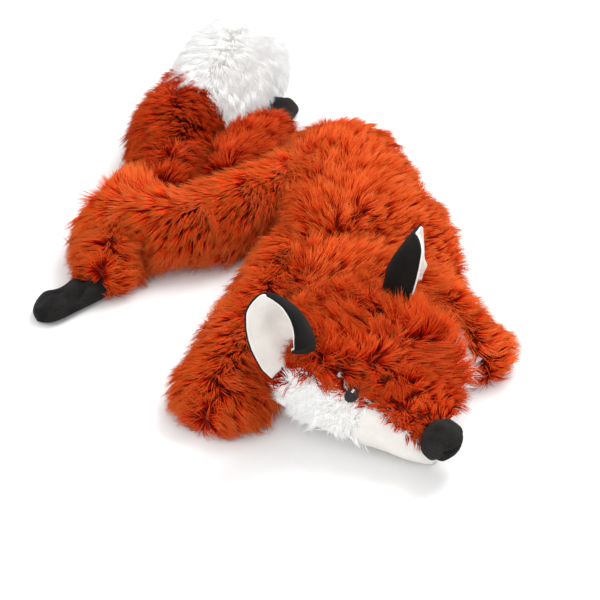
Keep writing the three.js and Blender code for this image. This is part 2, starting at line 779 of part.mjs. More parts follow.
const tailGroup = turningGroup(hind, "tail", raised(tailFrame, tailHeight));
addPiece(tailGroup, "tail_upper", upperOf(tail), orangePlush);
addPiece(tailGroup, "tail_under", underOf(tail), orangePlush);
const tipGroup = turningGroup(tailGroup, "tail_tip", raised(tipFrame, tipHeight));
addPiece(tipGroup, "tail_tip_upper", upperOf(tip).subtract(tipPocket).subtract(tipDrop), whitePlush);
addPiece(tipGroup, "tail_tip_under", underOf(tip), whitePlush);
addPiece(tipGroup, "tail_squeaker_bulb", squeakerBulb(tipSqueakerFrame), squeakerVinyl, vinylRoughness);
addPiece(tipGroup, "tail_squeaker_reed", squeakerReed(tipSqueakerFrame), reedVinyl, vinylRoughness);

const rightForeLegGroup = turningGroup(fore, "right_front_leg", rightForeLegFrame);
addPiece(rightForeLegGroup, "right_front_leg_upper", upperOf(rightForeLeg), orangePlush);
addPiece(rightForeLegGroup, "right_front_leg_inside", underOf(rightForeLeg), whiteVelboa);
const leftForeLegGroup = turningGroup(fore, "left_front_leg", raised(leftForeLegFrame, leftForeLegHeight));
addPiece(leftForeLegGroup, "left_front_leg_upper", upperOf(leftForeLeg), orangePlush);
addPiece(leftForeLegGroup, "left_front_leg_inside", underOf(leftForeLeg), whiteVelboa);

const head = turningGroup(fore, "head", raised(headFrame, headHeight));
addPiece(head, "head_crown", crown, orangePlush);
addPiece(head, "right_cheek", cheeks.intersect(rightHalf), whitePlush);
addPiece(head, "left_cheek", cheeks.subtract(rightHalf), whitePlush);
addPiece(head, "muzzle_chin", chin, whiteVelboa);
addPiece(head, "head_stuffing", headStuffing, fillWhite);
addPiece(head, "head_squeaker_bulb", squeakerBulb(headSqueakerFrame), squeakerVinyl, vinylRoughness);
addPiece(head, "head_squeaker_reed", squeakerReed(headSqueakerFrame), reedVinyl, vinylRoughness);
addPiece(head, "nose", nose, blackVelboa);
addPiece(head, "right_eye", eyeBall(-1), eyeBlack, vinylRoughness);
addPiece(head, "left_eye", eyeBall(1), eyeBlack, vinylRoughness);
for (const { name, frame, back, lining } of ears) {
  const group = turningGroup(head, `${name}_ear`, frame);
  addPiece(group, `${name}_ear_back`, back, blackVelboa);
  addPiece(group, `${name}_ear_lining`, lining, whiteVelboa);
}

// The origin goes on the floor under the middle of the toy's box
toy.updateWorldMatrix(true, true);
const box = new THREE.Box3().setFromObject(toy, true);
const middle = box.getCenter(new THREE.Vector3());
toy.position.set(-middle.x, -middle.y, -box.min.z);

export default toy;
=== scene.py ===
# %% [markdown]
# # An unstuffed plush fox
# The toy is a long limp skin of deep-pile plush. This lesson dresses the imported solids: each body
# part gets a cloth form, and thousands of fine strands are planted on that cloth with Geometry Nodes.
# The first cell loads the imported model as a fixed frame. It
# also seeds Blender's noise, which otherwise takes its seed from the clock, so every run is the same.

# %% Load the fixed frame
import json
import math

import bpy
import numpy as np
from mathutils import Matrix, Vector, noise
from mathutils.bvhtree import BVHTree

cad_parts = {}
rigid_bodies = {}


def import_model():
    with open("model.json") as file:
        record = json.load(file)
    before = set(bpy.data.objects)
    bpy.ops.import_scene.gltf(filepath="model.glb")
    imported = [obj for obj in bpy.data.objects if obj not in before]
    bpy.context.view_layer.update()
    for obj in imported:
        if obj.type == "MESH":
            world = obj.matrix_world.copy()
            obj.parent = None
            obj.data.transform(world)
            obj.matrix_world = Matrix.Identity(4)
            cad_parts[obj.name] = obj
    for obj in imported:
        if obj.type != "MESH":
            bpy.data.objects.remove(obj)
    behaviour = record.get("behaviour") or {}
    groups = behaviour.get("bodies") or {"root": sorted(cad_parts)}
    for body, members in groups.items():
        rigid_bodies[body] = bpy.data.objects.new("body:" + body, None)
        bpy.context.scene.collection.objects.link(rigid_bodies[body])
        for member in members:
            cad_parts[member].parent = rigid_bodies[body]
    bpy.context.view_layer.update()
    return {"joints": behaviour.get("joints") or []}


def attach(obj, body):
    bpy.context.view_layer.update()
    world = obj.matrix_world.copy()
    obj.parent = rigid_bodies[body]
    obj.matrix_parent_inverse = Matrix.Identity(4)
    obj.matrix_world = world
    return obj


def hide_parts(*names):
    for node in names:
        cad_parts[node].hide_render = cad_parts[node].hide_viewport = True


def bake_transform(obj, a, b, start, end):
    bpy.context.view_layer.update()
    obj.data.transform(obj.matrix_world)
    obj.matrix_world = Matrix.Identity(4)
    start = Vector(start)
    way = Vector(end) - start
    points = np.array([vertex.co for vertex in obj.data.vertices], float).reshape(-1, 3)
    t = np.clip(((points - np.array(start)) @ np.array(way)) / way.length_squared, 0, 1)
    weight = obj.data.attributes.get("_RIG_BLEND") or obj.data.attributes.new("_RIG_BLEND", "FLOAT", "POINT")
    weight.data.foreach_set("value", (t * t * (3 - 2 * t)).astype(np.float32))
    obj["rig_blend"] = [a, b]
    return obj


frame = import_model()
MM = 0.001
NOISE_SEED = 1
noise.seed_set(NOISE_SEED)
JOINTS = {joint["name"]: joint for joint in frame["joints"]}

# %% [markdown]
# ## Camera, floor and light
# The picture was taken from 40 degrees above the floor with a short telephoto lens, so the camera is
# placed by those two facts. A pale floor, a white surround and one big soft lamp behind the toy give
# the high-key look of a product shot, with soft grey shadows where the plush touches the floor.

# %% Set the camera
LENS = 85.7
SENSOR = 36.0
CAMERA_PLACE = (20.966 * MM, -724.2 * MM, 550.87 * MM)
CAMERA_TILT = 50.0

camera_data = bpy.data.cameras.new("photo_camera")
camera_data.lens = LENS
camera_data.sensor_width = SENSOR
camera = bpy.data.objects.new("photo_camera", camera_data)
camera.location = CAMERA_PLACE
camera.rotation_euler = (math.radians(CAMERA_TILT), 0, 0)
bpy.context.scene.collection.objects.link(camera)
bpy.context.scene.camera = camera
print("camera at", tuple(round(v, 3) for v in camera.location))

# %% Light the scene
SURROUND = 1.28
LAMP_POWER = 14.0
LAMP_SIZE = 0.8
LAMP_PLACE = (0.6, 0.6, 1.25)
FLOOR_REACH = 12.0
FLOOR_DROP = 0.2 * MM

scene = bpy.context.scene
scene.view_settings.view_transform = "Standard"
world = bpy.data.worlds.new("studio")
world.use_nodes = True
background = world.node_tree.nodes["Background"].inputs
background["Color"].default_value = (1, 1, 1, 1)
background["Strength"].default_value = SURROUND
scene.world = world

lamp_data = bpy.data.lights.new("softbox", "AREA")
lamp_data.shape = "DISK"
lamp_data.size = LAMP_SIZE
lamp_data.energy = LAMP_POWER
lamp = bpy.data.objects.new("softbox", lamp_data)
lamp.location = LAMP_PLACE
lamp.rotation_euler = (-Vector(LAMP_PLACE)).to_track_quat("-Z", "Y").to_euler()
scene.collection.objects.link(lamp)

corners = [(x * FLOOR_REACH, y * FLOOR_REACH, -FLOOR_DROP) for x, y in ((-1, -1), (1, -1), (1, 1), (-1, 1))]
floor_mesh = bpy.data.meshes.new("floor")
floor_mesh.from_pydata(corners, [], [(0, 1, 2, 3)])
floor = bpy.data.objects.new("studio_floor", floor_mesh)
scene.collection.objects.link(floor)
print("lamp at", LAMP_PLACE, "surround", SURROUND)

# %% [markdown]
# ## Node helpers
# Materials and Geometry Nodes trees are both written with a few small helpers. One adds a node, sets
# its options, and links each input or gives it a value, so a tree reads like a list of sums.

# %% Helpers that add nodes
def fill_in(tree, node, inputs):
    """Links each input of a node, or gives it a value."""
    for key, value in inputs.items():
        if isinstance(value, bpy.types.NodeSocket):
            tree.links.new(value, node.inputs[key])
        else:
            node.inputs[key].default_value = value


def add(tree, kind, inputs=None, **settings):
    """The outputs of a new node."""
    node = tree.nodes.new(kind)
    for key, value in settings.items():
        setattr(node, key, value)
    fill_in(tree, node, inputs or {})
    return node.outputs


def put(tree, kind, inputs=None, out=0, **settings):
    """One output of a new node."""
    return add(tree, kind, inputs, **settings)[out]


def mixed(tree, factor, first, second):
    return put(tree, "ShaderNodeMix", {"Factor": factor, 6: first, 7: second}, out=2, data_type="RGBA")


def ranged(tree, value, start, end, low=0.0, high=1.0):
    """Runs from low to high while the value runs from start to end."""
    return put(tree, "ShaderNodeMapRange",
               {"Value": value, "From Min": start, "From Max": end, "To Min": low, "To Max": high})


def new_tree(name, kind, inputs, outputs):
    """A node group with named sockets: the tree, what it is given, and its end node."""
    tree = bpy.data.node_groups.new(name, kind)
    for way, sockets in (("OUTPUT", outputs), ("INPUT", inputs)):
        for label, value_kind in sockets.items():
            tree.interface.new_socket(name=label, in_out=way, socket_type="NodeSocket" + value_kind)
    return tree, tree.nodes.new("NodeGroupInput").outputs, tree.nodes.new("NodeGroupOutput")


def new_material(name, colour_group):
    """A material with a node group, its tree, its shader and the group's node."""
    material = bpy.data.materials.new(name)
    material.use_nodes = True
    tree = material.node_tree
    group = tree.nodes.new("ShaderNodeGroup")
    group.node_tree = colour_group
    return material, tree, tree.nodes["Principled BSDF"], group


def rgb(red, green, blue):
    """A display colour, 0 to 255, as the linear colour that a shader takes."""
    linear = []
    for part in (red, green, blue):
        share = part / 255
        linear.append(share / 12.92 if share <= 0.04045 else ((share + 0.055) / 1.055) ** 2.4)
    return (*linear, 1)


# %% [markdown]
# ## Plush pile material
# A plush strand is painted dark and saturated at its root, painted shade for the light trapped between
# strands, and light at its tip, partly the pile's own paler worn tips and partly painted sheen.
# Each strand carries a small map: up the map runs root to tip, and across it runs the strand's own
# shade, so the colour can be worked out from the map alone and survives a bake. White fibres let light
# through, which solid strands can't, so the white pile gives off a part of its own light instead.

# %% Shade the pile
def pile_shade_group():
    group, given, finish = new_tree("pile_shade", "ShaderNodeTree", {
        "Map": "Vector", "Root": "Color", "Middle": "Color", "Tip": "Color", "Dusty sheen": "Color",
        "Dimmest": "Float", "Brightest": "Float"}, {"Color": "Color"})
    chart = add(group, "ShaderNodeSeparateXYZ", {0: given["Map"]})
    own, up = chart["X"], chart["Y"]
    # Dark root: painted shade between strands. Light tip: partly the pile's paler tips, partly painted sheen.
    colour = mixed(group, ranged(group, up, 0.0, 0.55), given["Root"], given["Middle"])
    colour = mixed(group, ranged(group, up, 0.45, 1.0), colour, given["Tip"])
    # Some strands turn dusty towards the tip: partly worn, partly painted sheen.
    worn_and_sheen = ranged(group, own, 0.55, 1.0, 0.0, 0.5)
    worn_and_sheen = put(group, "ShaderNodeMath", {0: worn_and_sheen, 1: up}, operation="MULTIPLY")
    colour = mixed(group, worn_and_sheen, colour, given["Dusty sheen"])
    bright = ranged(group, own, 0.0, 1.0, given["Dimmest"], given["Brightest"])
    shaded = put(group, "ShaderNodeVectorMath", {0: colour, "Scale": bright}, operation="SCALE")
    fill_in(group, finish, {"Color": shaded})
    return group


PILE_SHADE = pile_shade_group()
PILE_ROUGHNESS, PILE_SHINE = 0.7, 0.02


def pile_material(name, root, middle, tip, dusty_sheen, shades, sheen, glow):
    material, tree, shader, group = new_material(name, PILE_SHADE)
    fill_in(tree, group, {
        "Map": put(tree, "ShaderNodeUVMap", uv_map="pile"), "Root": rgb(*root), "Middle": rgb(*middle),
        "Tip": rgb(*tip), "Dusty sheen": rgb(*dusty_sheen), "Dimmest": shades[0], "Brightest": shades[1]})
    colour = group.outputs["Color"]
    fill_in(tree, shader, {
        "Base Color": colour, "Roughness": PILE_ROUGHNESS, "Specular IOR Level": PILE_SHINE,
        "Sheen Weight": sheen, "Sheen Roughness": 0.4, "Sheen Tint": rgb(255, 170, 120)})
    if glow:
        fill_in(tree, shader, {"Emission Color": colour, "Emission Strength": glow})
    return material


PILE_SHADES = {
    # name: root (painted shade), middle, tip and worn tip (both partly painted sheen), dimmest and brightest
    # strand, sheen, glow
    "orange_plush_pile": ((136, 3, 0), (218, 38, 0), (249, 121, 50), (228, 130, 82), (0.8, 1.06), 0.03, 0),
    # The next three rows are copies of the same orange pile: the crown's is darker, painted shade that dims
    # its highlights; the next is lighter, painted light; the last is darker, painted shade.
    "crown_orange_pile": ((124, 2, 0), (208, 32, 0), (240, 102, 40), (218, 106, 60), (0.78, 1.0), 0.03, 0),
    "lit_orange_pile": ((142, 5, 0), (230, 43, 2), (253, 130, 56), (236, 138, 90), (0.84, 1.06), 0.03, 0),
    "shaded_orange_pile": ((116, 2, 0), (200, 28, 0), (238, 98, 36), (208, 96, 56), (0.66, 1.06), 0.03, 0),
    "white_plush_pile": (
        (213, 210, 207), (221, 221, 220), (223, 223, 223), (222, 222, 221), (0.98, 1.0), 0.0, 0.42),
}
ORANGE_PILE, CROWN_PILE, LIT_PILE, SHADED_PILE, WHITE_PILE = (
    pile_material(name, *shades) for name, shades in PILE_SHADES.items())
print("pile materials", list(PILE_SHADES))

# %% [markdown]
# ## Velboa and backing cloth
# The belly, ears, feet, nose and muzzle are velboa, a pile so short that it reads as a soft matt
# surface. Fine noise in Object coordinates gives the nap its mottled colour and a shallow bump, and
# sheen gives the pale rim of short fibres seen edge on. The backing under the long pile uses the same
# recipe in the pile's colour; the orange backing is as dark as the pile's root, painted shade in the
# gaps between strands. A lighter copy of the white velboa on the limbs' undersides is painted light,
# and a darker copy of the black velboa on the ear backs is painted shade.

# %% Shade the short nap
def nap_group():
    group, given, finish = new_tree(
        "short_nap", "ShaderNodeTree", {"Dark": "Color", "Light": "Color", "Grain": "Float"},
        {"Color": "Color", "Height": "Float"})
    place = put(group, "ShaderNodeTexCoord", out="Object")
    fine = put(group, "ShaderNodeTexNoise",
               {"Vector": place, "Scale": given["Grain"], "Detail": 4.0, "Roughness": 0.7})
    broad = put(group, "ShaderNodeTexNoise", {"Vector": place, "Scale": 55.0, "Detail": 3.0})
    both = put(group, "ShaderNodeMath", {0: fine, 1: broad}, operation="ADD")
    colour = mixed(group, ranged(group, both, 0.75, 1.25), given["Dark"], given["Light"])
    fill_in(group, finish, {"Color": colour, "Height": fine})
    return group


NAP = nap_group()
NAP_DEPTH = 0.4 * MM
PALE_SHEEN, COOL_SHEEN = (255, 255, 255), (150, 150, 160)


def nap_material(name, dark, light, grain=1500.0, bump=0.35, sheen=0.4, tint=PALE_SHEEN, rough=0.9):
    material, tree, shader, group = new_material(name, NAP)
    fill_in(tree, group, {"Dark": rgb(*dark), "Light": rgb(*light), "Grain": grain})
    relief = put(tree, "ShaderNodeBump",
                 {"Height": group.outputs["Height"], "Strength": bump, "Distance": NAP_DEPTH})
    fill_in(tree, shader, {
        "Base Color": group.outputs["Color"], "Normal": relief, "Roughness": rough,
        "Specular IOR Level": 0.2, "Sheen Weight": sheen, "Sheen Roughness": 0.5, "Sheen Tint": rgb(*tint)})
    return material


BLACK_VELBOA = nap_material("black_velboa", (3, 3, 3), (40, 38, 37), bump=0.9, sheen=0.04, tint=COOL_SHEEN)
# A darker copy of the black velboa for the ear backs: painted shade.
EAR_VELBOA = nap_material("ear_black_velboa", (1, 1, 1), (27, 25, 23), bump=0.9, sheen=0.02, tint=COOL_SHEEN)
WHITE_VELBOA = nap_material("white_velboa", (218, 214, 208), (236, 233, 228), bump=0.25, sheen=0.1)
# A lighter copy of the white velboa for the limbs' undersides: painted light.
LIT_LINING_VELBOA = nap_material("lit_white_velboa_lining", (238, 236, 232), (252, 251, 249), bump=0.25, sheen=0.2)
# The orange backing is as dark as the pile's root: painted shade in the gaps between strands.
ORANGE_CLOTH = nap_material("orange_plush_backing", (96, 16, 4), (170, 44, 10), grain=900.0, sheen=0.1)
WHITE_CLOTH = nap_material("white_plush_backing", (236, 230, 222), (250, 248, 244), grain=900.0)
FILL = nap_material("polyester_fill", (235, 235, 232), (250, 250, 248), grain=300.0, bump=0.8)
VINYL = nap_material(
    "squeaker_vinyl", (226, 221, 207), (234, 230, 218), grain=200.0, bump=0.05, sheen=0.0, rough=0.4)
BLACK_THREAD = nap_material("black_thread", (14, 14, 15), (34, 34, 36), grain=2500.0, rough=0.5)
WHITE_THREAD = nap_material("white_thread", (225, 225, 224), (250, 250, 250), grain=2500.0, rough=0.5)
FLOOR_PAPER = nap_material("floor_paper", (232, 232, 232), (235, 235, 235), grain=20.0, bump=0.0, sheen=0.0)
floor.data.materials.append(FLOOR_PAPER)
print("materials", len(bpy.data.materials))

# %% [markdown]
# ## Cloth forms
# Every limb of the skin is a soft form lying on the floor: rings set along a line, each round above
# and flat below, that swell and taper by a short table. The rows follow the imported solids, so a form
# fills the room of its own solid; it is drawn a few millimetres slimmer, and the pile makes up the rest.
# Where the photograph asks for it, a row lies a little beside the solid's.

# %% Small sums that the forms share
def hump(value, middle, width):
    """A smooth hump, one high, around a middle value."""
    return np.exp(-(((value - middle) / width) ** 2))


def smooth_step(low, high, value):
    share = np.clip((value - low) / (high - low), 0, 1)
    return share * share * (3 - 2 * share)


def noise_at(points, size, kind=noise.noise, offset=0):
    """Noise of a given grain size at each point."""
    return np.array([kind(Vector(point) / size + Vector((offset, 0, 0))) for point in points])


def mesh_of(name, co, faces):
    mesh = bpy.data.meshes.new(name)
    mesh.from_pydata([tuple(point) for point in co], [], faces)
    mesh.update()
    mesh.polygons.foreach_set("use_smooth", [True] * len(mesh.polygons))
    return mesh


def normals_of(co, faces):
    mesh = mesh_of("scratch", co, faces)
    normals = np.zeros(len(co) * 3)
    mesh.vertex_normals.foreach_get("vector", normals)
    bpy.data.meshes.remove(mesh)
    return normals.reshape(-1, 3)


def capped_rings(rings, sides):
    """Faces over rings of points that have a pole before them and another behind."""
    faces, last = [], 1 + rings * sides
    for side in range(sides):
        beside = (side + 1) % sides
        faces.append((0, 1 + beside, 1 + side))
        faces.append((last, last - sides + side, last - sides + beside))
        for here in range(1, last - sides, sides):
            beyond = here + sides
            faces.append((here + side, here + beside, beyond + beside, beyond + side))
    return faces


def new_piece(name, co, faces, material):
    mesh = mesh_of(name, co, faces)
    mesh.materials.append(material)
    piece = bpy.data.objects.new(name, mesh)
    scene.collection.objects.link(piece)
    return piece


def keep_faces(co, faces, wanted):
    """The points and faces of a part of a mesh."""
    chosen = [face for face, keep in zip(faces, wanted) if keep]
    used = sorted({index for face in chosen for index in face})
    renumber = {old: new for new, old in enumerate(used)}
    return co[used], [tuple(renumber[index] for index in face) for face in chosen]


# %% Rings along a line
EDGE_SHARE = 0.36
END_HEIGHT_SHARE = 0.35
SLIMMEST_SHARE = 0.3
CREST_SHARE = 0.9
FLOOR_CLEAR = 0.3 * MM
FLOOR_SINK = 0.5 * MM
RUMPLE_SIZE = 0.022
RUMPLE_SHARE = 1.6


def row_at(rows, position):
    """A row between the table's rows, on a smooth curve through them."""
    last = len(rows) - 1
    scaled = position * last
    low = min(int(math.floor(scaled)), last - 1)
    part = scaled - low
    before, here = rows[max(low - 1, 0)], rows[low]
    after, beyond = rows[low + 1], rows[min(low + 2, last)]
    square, cube = part * part, part**3
    return ((2 * cube - 3 * square + 1) * here + (cube - 2 * square + part) * (after - before) / 2
            + (3 * square - 2 * cube) * after + (cube - square) * (beyond - here) / 2)


class Form:
    """A closed cloth form with, for each point, its place along and around the limb."""

    def __init__(self, joint, heading, size, rows, rings, sides, slim, trim=(0, 0), rounds=(0, 0), rumple=0):
        x, y, _ = JOINTS[joint]["pos_m"]
        turn = math.radians(heading)
        self.origin = np.array([x, y, 0.0])
        self.ahead = np.array([math.cos(turn), math.sin(turn), 0.0])
        self.left = np.array([-self.ahead[1], self.ahead[0], 0.0])
        self.size = np.array(size) * MM
        self.rows = np.array(rows)
        length = self.size[0] * (self.rows[-1][0] - self.rows[0][0])
        self.start = trim[0] * MM / length
        self.end = 1 - trim[1] * MM / length
        self.build(rings, sides, slim * MM, [share * self.size[1] for share in rounds])
        self.faces = capped_rings(rings, sides)
        if rumple:
            self.rumple(rumple * MM)

    def at(self, position):
        along, aside, width, height = row_at(self.rows, position)
        return np.array([along, aside]) * self.size[0], width * self.size[1] / 2, height * self.size[2]

    def heading(self, position, reach):
        """The way that the line runs at a place, ahead and to the left."""
        step = self.at(min(position + reach, 1))[0] - self.at(max(position - reach, 0))[0]
        return step / np.linalg.norm(step)

    def to_world(self, ahead, left, up):
        return self.origin + self.ahead * ahead + self.left * left + np.array([0, 0, up])

    def build(self, rings, sides, slim, rounds):
        ends = self.at(self.start)[0], self.at(self.end)[0]
        points, along, turns = [], [], []
        for ring in range(1, rings + 1):
            even = ring / (rings + 1)
            eased = (even + (1 - math.cos(math.pi * even)) / 2) / 2
            position = self.start + (self.end - self.start) * eased
            centre, half, high = self.at(position)
            way = self.heading(position, 1e-3)
            factor = 1.0
            for end, radius in zip(ends, rounds):
                distance = np.linalg.norm(centre - end)
                if radius > 0 and distance < radius:
                    factor *= math.sqrt(1 - (1 - distance / radius) ** 2)
            half = max(half - slim, half * SLIMMEST_SHARE) * factor
            high = max(high - slim, high * SLIMMEST_SHARE)
            high *= END_HEIGHT_SHARE + (1 - END_HEIGHT_SHARE) * factor
            edge = EDGE_SHARE * high
            for side in range(sides):
                turn = 2 * math.pi * side / sides
                rise = math.sin(turn)
                above = (high - edge) * rise**CREST_SHARE if rise >= 0 else (edge + FLOOR_SINK) * rise
                flat = centre + half * math.cos(turn) * np.array([-way[1], way[0]])
                points.append(self.to_world(flat[0], flat[1], max(edge + above, FLOOR_CLEAR)))
                along.append(position)
                turns.append(turn)
        poles = []
        for end, share in zip(ends, (points[:sides], points[-sides:])):
            poles.append(self.to_world(end[0], end[1], np.mean([point[2] for point in share])))
        self.co = np.array([poles[0], *points, poles[1]])
        self.along = np.array([self.start, *along, self.end])
        self.turn = np.array([math.pi / 2, *turns, math.pi / 2])

    def rumple(self, depth):
        """Uneven hollows and swellings, as limp cloth has."""
        swell = noise_at(self.co, RUMPLE_SIZE)
        self.co = self.co + normals_of(self.co, self.faces) * (swell * RUMPLE_SHARE * depth)[:, None]
        self.co[:, 2] = np.maximum(self.co[:, 2], FLOOR_CLEAR)


# %% [markdown]
# ## The limbs' tables
# The tables repeat the solids' own rows: how far along and aside each ring lies, and how wide and high
# it is, as shares of the limb's length, width and height.

# %% Sizes and rows of the limbs
FORE_ROWS = [
    [-0.26, 0.0, 0.64, 0.86], [-0.08, 0.02, 0.76, 0.99], [0.13, 0.05, 0.8, 1.02], [0.34, 0.085, 0.95, 1.0],
    [0.56, 0.13, 1.05, 0.97], [0.77, 0.08, 1.04, 0.84], [0.93, -0.01, 0.88, 0.62], [1.08, -0.115, 0.74, 0.56]]
HIND_ROWS = [
    [-0.087, 0.08, 0.9, 0.98], [0.06, 0.078, 0.92, 0.95], [0.25, 0.16, 0.88, 0.94], [0.48, 0.31, 0.8, 0.9],
    [0.71, 0.365, 0.86, 0.86], [1.0, 0.25, 1.3, 0.88]]
HEAD_HEADING, HEAD_SIZE = -51, (110, 92, 56)
HEAD_ROWS = [
    [-0.06, 0.0, 0.8, 0.96], [0.12, 0.0, 0.94, 1.03], [0.3, 0.0, 1.0, 1.02], [0.48, 0.0, 0.98, 0.95],
    [0.64, 0.0, 0.8, 0.8], [0.79, 0.0, 0.52, 0.64], [0.92, 0.0, 0.36, 0.56], [1.0, 0.0, 0.3, 0.52]]
FLAT_LEG_ROWS = [
    [-0.3, 0.0, 0.92, 1.0], [0.05, 0.0, 0.97, 1.0], [0.35, 0.0, 0.96, 0.94], [0.62, 0.0, 0.98, 0.88],
    [0.84, 0.0, 1.0, 0.84], [1.0, 0.0, 0.92, 0.76]]
RIGHT_HIND_LEG_ROWS = [
    [-0.3, 0.08, 0.94, 1.06], [0.1, 0.09, 0.92, 1.0], [0.5, 0.12, 0.78, 0.86], [0.85, 0.16, 0.6, 0.7],
    [1.1, 0.16, 0.46, 0.52]]
LEFT_HIND_LEG_ROWS = [
    [-0.1, 0.0, 0.94, 1.0], [0.22, 0.02, 1.0, 1.0], [0.52, 0.03, 0.98, 0.92], [0.8, 0.0, 0.8, 0.78],
    [1.06, -0.05, 0.6, 0.54]]
FOOT_ROWS = [
    [-0.4, 0.08, 0.84, 0.98], [0.05, 0.11, 0.86, 1.04], [0.4, 0.1, 0.92, 0.92], [0.72, 0.08, 1.04, 0.94],
    [1.0, 0.04, 0.88, 0.72]]
TAIL_ROWS = [
    [-0.26, -0.06, 0.62, 0.7], [0.04, -0.06, 0.74, 0.8], [0.34, -0.05, 0.88, 1.0], [0.62, -0.075, 0.93, 1.0],
    [0.86, -0.14, 0.95, 1.0], [1.1, -0.25, 0.92, 1.0]]
TIP_ROWS = [
    [-0.1, -0.02, 0.76, 0.88], [0.12, 0.0, 0.84, 0.96], [0.36, 0.01, 0.9, 1.0], [0.6, 0.02, 0.88, 1.0],
    [0.82, 0.03, 0.78, 0.9], [1.0, 0.03, 0.54, 0.68]]

FORMS = {
    # name: root joint, heading, size mm, rows, rings, sides, slimmer by mm, trims mm, end rounds, rumple mm
    "fore": Form("waist_bend", -90, (160, 104, 54), FORE_ROWS, 44, 52, 7, (4, 4), (0.42, 0.2), 1.8),
    "hind": Form("waist_bend", 180, (150, 64, 46), HIND_ROWS, 40, 44, 6, (0, 4), (0, 0.2), 1.8),
    "right_hind_leg": Form(
        "right_hind_leg_lift", -109, (40, 58, 36), RIGHT_HIND_LEG_ROWS, 18, 32, 5, (0, 6), (0, 0), 1.2),
    "left_hind_leg": Form(
        "left_hind_leg_lift", 73, (84, 46, 32), LEFT_HIND_LEG_ROWS, 24, 32, 5, (0, 3), (0, 0), 1.2),
    "right_front_leg": Form(
        "right_front_leg_swing", -111, (112, 54, 34), FLAT_LEG_ROWS, 30, 36, 4.5, (0, 5), (0, 0.4), 1.5),
    "left_front_leg": Form(
        "left_front_leg_lift", -61, (58, 34, 28), FLAT_LEG_ROWS, 20, 28, 5, (0, 5), (0, 0.4), 1.0),
    "head": Form("neck_lift", HEAD_HEADING, HEAD_SIZE, HEAD_ROWS, 50, 64, 0.3, (4, 0), (0.3, 0.14)),
    "tail": Form("tail_lift", 88, (106, 62, 42), TAIL_ROWS, 30, 40, 6, (0, 9), (0, 0), 1.8),
    "tail_tip": Form("tail_tip_flex", 67, (94, 74, 50), TIP_ROWS, 28, 40, 8, (0, 9), (0, 0.5), 1.5),
}
NECK_FOLD, FOLD_WIDTH, FOLD_DEPTH = 0.62, 0.05, 9 * MM
fore = FORMS["fore"]
fore.co[:, 2] -= hump(fore.along, NECK_FOLD, FOLD_WIDTH) * np.clip(np.sin(fore.turn), 0, 1) * FOLD_DEPTH
for name, form in FORMS.items():
    print(name, "points", len(form.co), "top", round(float(form.co[:, 2].max()) / MM, 1), "mm")

# %% Find what is buried
BURIED_DEPTH = 4 * MM
BURIED_COVER = 0.25
SKINS = {name: BVHTree.FromPolygons([tuple(p) for p in form.co], form.faces) for name, form in FORMS.items()}


def buried(body):
    """Points of a form that lie deep inside another form, where thin pile is enough."""
    deep = np.zeros(len(FORMS[body].co), bool)
    for other, skin in SKINS.items():
        if other == body:
            continue
        for index, point in enumerate(FORMS[body].co):
            place, normal, _, distance = skin.find_nearest(Vector(point))
            if distance > BURIED_DEPTH and (Vector(point) - place).dot(normal) < 0:
                deep[index] = True
    return deep


# %% [markdown]
# ## The pile as a Geometry Nodes tree
# Real plush has far too many fibres to model, but they stick together in pointed locks, and a few
# hundred tapered strands to the square centimetre, drawn together in the same way, read as fur. The
# tree scatters roots on the cloth, leans each strand along a combed direction, bends it, and pulls its
# tip towards the middle of its lock. Cells of a Voronoi texture are the locks.

# %% One strand
STRAND_RING = 3
STRAND_LEVELS = (0.0, 0.5)


def strand_template():
    """A tapered three-sided strand, one unit high, that keeps its own coordinates as an attribute."""
    points = []
    for level in STRAND_LEVELS:
        for side in range(STRAND_RING):
            turn = 2 * math.pi * side / STRAND_RING
            points.append((0.5 * math.cos(turn), 0.5 * math.sin(turn), level))
    points.append((0, 0, 1))
    faces = [(2, 1, 0)]
    for side in range(STRAND_RING):
        beside = (side + 1) % STRAND_RING
        faces.append((side, beside, STRAND_RING + beside, STRAND_RING + side))
        faces.append((STRAND_RING + side, STRAND_RING + beside, 2 * STRAND_RING))
    mesh = bpy.data.meshes.new("strand")
    mesh.from_pydata(points, [], faces)
    mesh.attributes.new("local", "FLOAT_VECTOR", "POINT").data.foreach_set("vector", np.ravel(points))
    mesh.attributes.new("across", "FLOAT", "POINT").data.foreach_set("value", [0, 0.5, 1, 0, 0.5, 1, 0.5])
    return bpy.data.objects.new("strand_template", mesh)


STRAND = strand_template()

# %% The tree that grows the pile
PILE_INPUTS = {
    "Geometry": "Geometry", "Strand": "Object", "Pile material": "Material", "Density": "Float",
    "Pile length": "Float", "Strand width": "Float", "Lift": "Float", "Lock size": "Float",
    "Lock pull": "Float", "Ruffle": "Float", "Seed": "Int"}
SHADE_SHARE = 0.98
ROOT_DEPTH = 0.6 * MM
STRAND_FLOOR = 0.4 * MM
BIG_LOCK, BIG_PULL = 2.6, 0.3


